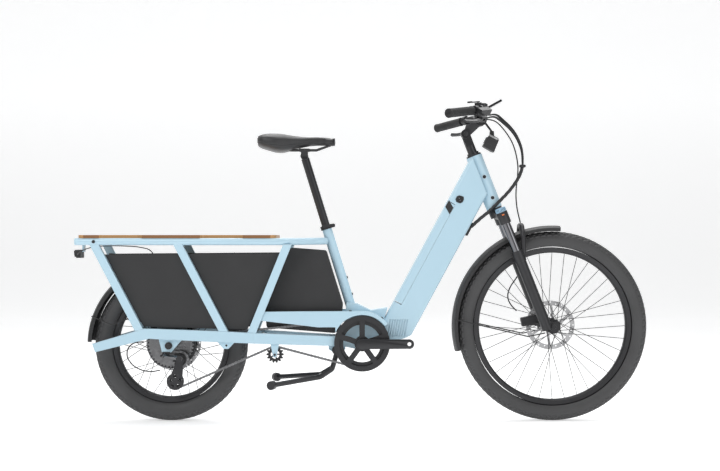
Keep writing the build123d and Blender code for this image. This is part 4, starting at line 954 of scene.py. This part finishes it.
def makeSaddle():
    stations = smoothPath([Vector((x, half, top)) for x, half, top, _ in saddleLook["stations"]], 4)
    bottoms = smoothPath([Vector((x, half, low)) for x, half, _, low in saddleLook["stations"]], 4)
    vertices, faces, size = [], [], saddleLook["ringSteps"]
    for upper, lower in zip(stations, bottoms):
        middle, tall = (upper.z + lower.z) / 2, (upper.z - lower.z) / 2
        for k in range(size):
            angle = math.tau * k / size
            c, q = math.cos(angle), math.sin(angle)
            across = math.copysign(abs(c) ** saddleLook["squareness"], c)
            rise = math.copysign(abs(q) ** saddleLook["squareness"], q)
            vertices.append((upper.x, upper.y * across, middle + tall * rise))
    for step in range(len(stations) - 1):
        for k in range(size):
            here, after = step * size + k, step * size + (k + 1) % size
            faces.append((here, after, after + size, here + size))
    faces.append(tuple(range(size - 1, -1, -1)))
    faces.append(tuple(len(vertices) - size + k for k in range(size)))
    cover = sharpEdges(pieceFrom("saddle_padding", vertices, faces), 180)
    stuffed(cover)
    finer = cover.modifiers.new("finer", "SUBSURF")
    finer.levels = finer.render_levels = 2
    applied(cover)
    mesh = cover.data
    low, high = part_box("saddle_cover")
    slices = 56
    reach = [[1.0, 0.0] for _ in range(slices + 1)]
    for vertex in mesh.vertices:
        place = round((vertex.co.x - low.x) / (high.x - low.x) * slices)
        span = reach[max(0, min(slices, place))]
        span[0], span[1] = min(span[0], vertex.co.z), max(span[1], vertex.co.z)

    def seamLine(x):
        place = max(0.0, min(slices - 0.001, (x - low.x) / (high.x - low.x) * slices))
        first, part = int(place), place % 1
        bottom = reach[first][0] * (1 - part) + reach[first + 1][0] * part
        top = reach[first][1] * (1 - part) + reach[first + 1][1] * part
        return bottom + (top - bottom) * saddleLook["seamHeight"]

    normals = [vertex.normal.copy() for vertex in mesh.vertices]
    edgeSpots = {}
    for vertex, normal in zip(mesh.vertices, normals):
        point = vertex.co.copy()
        away = (point.z - seamLine(point.x)) / saddleLook["seamWidth"]
        outside = abs(normal.y) > 0.35 or point.x < low.x + 0.012
        if outside:
            vertex.co -= normal * saddleLook["seamDepth"] * math.exp(-away * away)
            if abs(away) < 1.4 and abs(normal.y) > 0.35:
                key = (round(point.x / saddleLook["stitchPitch"]), point.y > 0)
                if key not in edgeSpots or abs(point.y) > abs(edgeSpots[key][0].y):
                    edgeSpots[key] = (point, normal)
        if normal.z > 0.5:
            along = (point.x - low.x) / (high.x - low.x)
            here = max(0.0, min(1.0, (along - 0.12) * 6, (0.86 - along) * 5))
            groove = math.exp(-(point.y / saddleLook["channelWidth"]) ** 2)
            vertex.co.z -= saddleLook["channelDepth"] * groove * here
    for polygon in mesh.polygons:
        polygon.use_smooth = True
    painted(cover, finish["leather"])
    placed(cover, "saddle", "saddle_leather", "saddle_cover")

    stitches = []
    for (step, left), (point, normal) in sorted(edgeSpots.items()):
        spot = point - normal * 0.0006
        spot.z = seamLine(point.x) + 0.0032
        turn = 1 if left else -1
        lean = Matrix.Rotation(math.atan2(normal.x, normal.y * turn) * turn, 3, "Z")
        stitch = boxPiece("stitch", saddleLook["stitch"], spot, lean, 0.0002)
        stitches.append(painted(stitch, finish["stitchGrey"]))
    row = joined("saddle_stitches", stitches)
    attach(row, "saddle")


makeSaddle()
print("saddle is made")


# Grips, cables and the small cockpit pieces

gripLook = {"inner": (0.38775, 0.230, 1.1122), "outer": (0.29825, 0.330, 1.0945), "radius": 0.0158,
            "ribs": 26, "groove": 0.0010, "flange": 0.0165}


def makeGrip(side):
    start = Vector(gripLook["inner"]) * Vector((1, side, 1))
    end = Vector(gripLook["outer"]) * Vector((1, side, 1))
    steps = gripLook["ribs"] * 6
    path = [start.lerp(end, step / steps) for step in range(steps + 1)]

    def ring(step):
        along = step / steps
        wave = max(0.0, math.cos(math.tau * along * gripLook["ribs"]))
        radius = gripLook["radius"] - gripLook["groove"] * wave
        if along < 0.05 or along > 0.94:
            radius = gripLook["flange"] * (0.97 if step in (0, steps) else 1)
        return roundRing(radius, 32)

    grip = pieceFrom(f"grip_{'left' if side > 0 else 'right'}", *crossRings(path, ring))
    painted(sharpEdges(grip, 50), finish["softRubber"])
    return placed(grip, "stem", "grip_rubber", "grips")


cableLook = {
    "strandRadius": 0.0024, "strands": 4, "wrapRadius": 0.0064, "wrapStep": 0.0012, "wrapTurn": 0.42,
    "loop": [(0.464, -0.040, 1.108), (0.486, -0.036, 1.116), (0.512, -0.026, 1.098), (0.554, -0.014, 1.062),
             (0.580, -0.008, 1.020), (0.594, -0.006, 0.972), (0.592, -0.008, 0.928)],
    "wrap": [(0.592, -0.008, 0.932), (0.590, -0.009, 0.918), (0.576, -0.014, 0.884), (0.544, -0.026, 0.840),
             (0.504, -0.038, 0.800), (0.468, -0.039, 0.764), (0.430, -0.030, 0.734), (0.404, -0.018, 0.708)],
    "hoseTop": [(0.468, 0.060, 1.106), (0.494, 0.056, 1.106), (0.528, 0.048, 1.072), (0.562, 0.042, 1.020),
                (0.578, 0.036, 0.960), (0.580, 0.032, 0.930)],
    "hoseFoot": [(0.580, 0.032, 0.930), (0.580, 0.032, 0.900), (0.572, 0.036, 0.840), (0.576, 0.042, 0.780),
                 (0.592, 0.052, 0.720), (0.608, 0.064, 0.664), (0.614, 0.084, 0.630), (0.612, 0.092, 0.600),
                 (0.604, 0.093, 0.560), (0.584, 0.095, 0.520), (0.558, 0.094, 0.486), (0.546, 0.090, 0.450),
                 (0.558, 0.084, 0.416), (0.580, 0.076, 0.396)],
}


def cableBlend(piece):
    painted(piece, finish["cableSheath"])
    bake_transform(piece)
    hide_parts("control_cables")


def makeCables():
    loop = smoothPath([Vector(point) for point in cableLook["loop"]], 12)
    strands = []
    for strand in range(cableLook["strands"]):
        angle = math.tau * (strand + 0.5) / cableLook["strands"]
        path = []
        for step, point in enumerate(loop):
            along = step / (len(loop) - 1)
            spin = angle + 1.2 * along
            spacing = 0.0036 + 0.0050 * (1 - along) ** 2
            path.append(point + Vector((math.cos(spin) * spacing * 0.6, math.sin(spin) * spacing,
                                        math.cos(spin) * spacing * 0.8)))
        strands.append(hoseAlong(f"strand{strand}", path, cableLook["strandRadius"], 12))
    bundle = joined("cable_loop", [painted(strand, finish["cableSheath"]) for strand in strands])
    cableBlend(bundle)

    line = smoothPath([Vector(point) for point in cableLook["wrap"]], 90)
    even, travelled = [line[0]], 0.0
    for before, after in zip(line, line[1:]):
        travelled += (after - before).length
        if travelled >= cableLook["wrapStep"]:
            even.append(after)
            travelled = 0.0

    def ring(step):
        spin = cableLook["wrapTurn"] * step
        made = []
        for k in range(16):
            angle = math.tau * k / 16
            ridge = 0.5 + 0.5 * math.cos(angle - spin)
            radius = cableLook["wrapRadius"] * (0.90 + 0.10 * min(1.0, 1.6 * ridge))
            made.append((radius * math.cos(angle), radius * math.sin(angle)))
        return made

    sleeve = pieceFrom("cable_sleeve", *crossRings(even, ring))
    cableBlend(sleeve)

    hoseTop = hoseAlong("hose_top", smoothPath([Vector(p) for p in cableLook["hoseTop"]], 14), 0.0025)
    cableBlend(hoseTop)
    hoseFoot = hoseAlong("hose_foot", smoothPath([Vector(p) for p in cableLook["hoseFoot"]], 14), 0.0025)
    cableBlend(hoseFoot)


for side in (-1, 1):
    makeGrip(side)
makeCables()
print("grips and cables are made")


# Small details on the frame

def makeRing(name, place, axis, inner, outer, height):
    # a flat ring round an axis
    turn = Vector((0, 1, 0)).rotation_difference(Vector(axis).normalized()).to_matrix().to_4x4()
    profile = [(0.0, inner), (0.0, outer), (height, outer * 0.985), (height, inner)]
    ring = turnedPiece(name, profile, (0, 0, 0), 48, closed=True)
    ring.data.transform(Matrix.Translation(Vector(place)) @ turn)
    return sharpEdges(ring, 30)


trimLook = {
    "steer": (0.3665, 0, -0.9304), "cap": (0.5029, 0.065, 0.7752), "capRadius": 0.0196, "capHeight": 0.0185,
    "capRibs": 24, "mark": (0.0090, 0.0012, 0.0040), "plugs": [(0.4502, 0.8899), (0.4803, 0.8136)],
    "plugFace": 0.0297, "plugRing": (0.0066, 0.0086, 0.0012),
    "patch": [(0.3207, 0.8049), (0.3365, 0.7765), (0.3230, 0.7525), (0.3070, 0.7810)], "tubeFace": 0.0422,
    "patchThick": 0.0008,
    "lockPlate": [(0.344, 0.808), (0.349, 0.818), (0.358, 0.822), (0.374, 0.817), (0.375, 0.807),
                  (0.370, 0.797), (0.361, 0.793), (0.347, 0.798)],
    "lock": (0.3594, -0.0426, 0.8073), "lockRing": (0.0034, 0.0078, 0.0008),
    "port": (0.3955, 0, 0.700), "portSize": (0.014, 0.040, 0.052), "tubeLean": 28,
    "clip": (0.5915, -0.008, 0.930), "clipSize": (0.022, 0.022, 0.010),
    "lamp": (0.4845, 1.034), "lampLean": 27.5, "band": (0.033, 0.0588, 0.0065),
    "fin": (0.046, 0.0588, 0.0016),
    "finSteps": [0.011, 0.017, 0.023, 0.029], "lampDown": (-0.462, 0, -0.887),
}


def makeCap(side):
    # the ribbed cap of a fork leg with a small mark below it
    start = Vector(trimLook["cap"]) * Vector((1, side, 1))
    along = Vector(trimLook["steer"])
    path = [start + along * trimLook["capHeight"] * part / 4 for part in range(5)]
    rounding = [0.93, 1.0, 1.0, 1.0, 0.96]

    def ring(step):
        made = []
        for k in range(trimLook["capRibs"] * 4):
            angle = math.tau * k / (trimLook["capRibs"] * 4)
            radius = trimLook["capRadius"] * rounding[step] - 0.0008 * (k % 4 in (0, 1))
            made.append((radius * math.cos(angle), radius * math.sin(angle)))
        return made

    cap = sharpEdges(pieceFrom("fork_cap", *crossRings(path, ring)), 30)
    painted(cap, finish["sealBlue"])
    spot = start + along * (trimLook["capHeight"] + 0.008) + Vector((0, side * 0.0212, 0))
    lean = Matrix.Rotation(math.radians(-21.5), 3, "Y")
    mark = painted(boxPiece("mark", trimLook["mark"], spot, lean, 0.0003), finish["markOrange"])
    whole = joined(f"fork_cap_{'left' if side > 0 else 'right'}", [cap, mark])
    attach(whole, "steering")
    return whole


def makePlate(name, corners, y, thick, material):
    # a flat plate on the side of the tube
    size = len(corners)
    vertices = [(x, y - thick / 2, z) for x, z in corners] + [(x, y + thick / 2, z) for x, z in corners]
    faces = [tuple(range(size)), tuple(range(2 * size - 1, size - 1, -1))]
    faces += [(k, k + size, (k + 1) % size + size, (k + 1) % size) for k in range(size)]
    plate = sharpEdges(pieceFrom(name, vertices, faces, smooth=False), 30)
    return painted(plate, material)


def makeTrim():
    for side in (-1, 1):
        makeCap(side)
    rings = []
    for side in (-1, 1):
        inner, outer, height = trimLook["plugRing"]
        for x, z in trimLook["plugs"]:
            spot = (x, side * trimLook["plugFace"], z)
            ring = makeRing("ring", spot, (0, side, 0), inner, outer, height)
            rings.append(painted(ring, finish["paleRing"]))
    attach(joined("plug_rings", rings), "frame")

    patches = [makePlate("patch", trimLook["patch"], side * trimLook["tubeFace"], trimLook["patchThick"],
                         finish["mouldedBlack"]) for side in (-1, 1)]
    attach(joined("cover_latch_patches", patches), "battery")
    face = makePlate("lock_plate", trimLook["lockPlate"], -trimLook["tubeFace"], trimLook["patchThick"],
                     finish["blackMetal"])
    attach(face, "frame")
    ring = makeRing("lock_ring", trimLook["lock"], (0, -1, 0), *trimLook["lockRing"])
    painted(ring, finish["rotorSteel"])
    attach(ring, "battery_lock")

    lean = Matrix.Rotation(math.radians(trimLook["tubeLean"]), 3, "Y")
    port = boxPiece("cable_port", trimLook["portSize"], trimLook["port"], lean, 0.003)
    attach(painted(port, finish["mouldedBlack"]), "frame")
    clip = boxPiece("cable_clip", trimLook["clipSize"], trimLook["clip"], None, 0.002)
    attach(painted(clip, finish["mouldedBlack"]), "steering")

    x, z = trimLook["lamp"]
    tilt = Matrix.Rotation(math.radians(trimLook["lampLean"]), 3, "Y")
    middle = Vector((x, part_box("headlight")[0].y * 0.5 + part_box("headlight")[1].y * 0.5, z))
    parts = [painted(boxPiece("band", trimLook["band"], middle, tilt, 0.0008), finish["rotorSteel"])]
    for reach in trimLook["finSteps"]:
        spot = middle + Vector(trimLook["lampDown"]) * reach
        parts.append(painted(boxPiece("fin", trimLook["fin"], spot, tilt, 0.0004), finish["blackMetal"]))
    fins = joined("lamp_fins", parts)
    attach(fins, "headlight")


makeTrim()
print("trim is made")
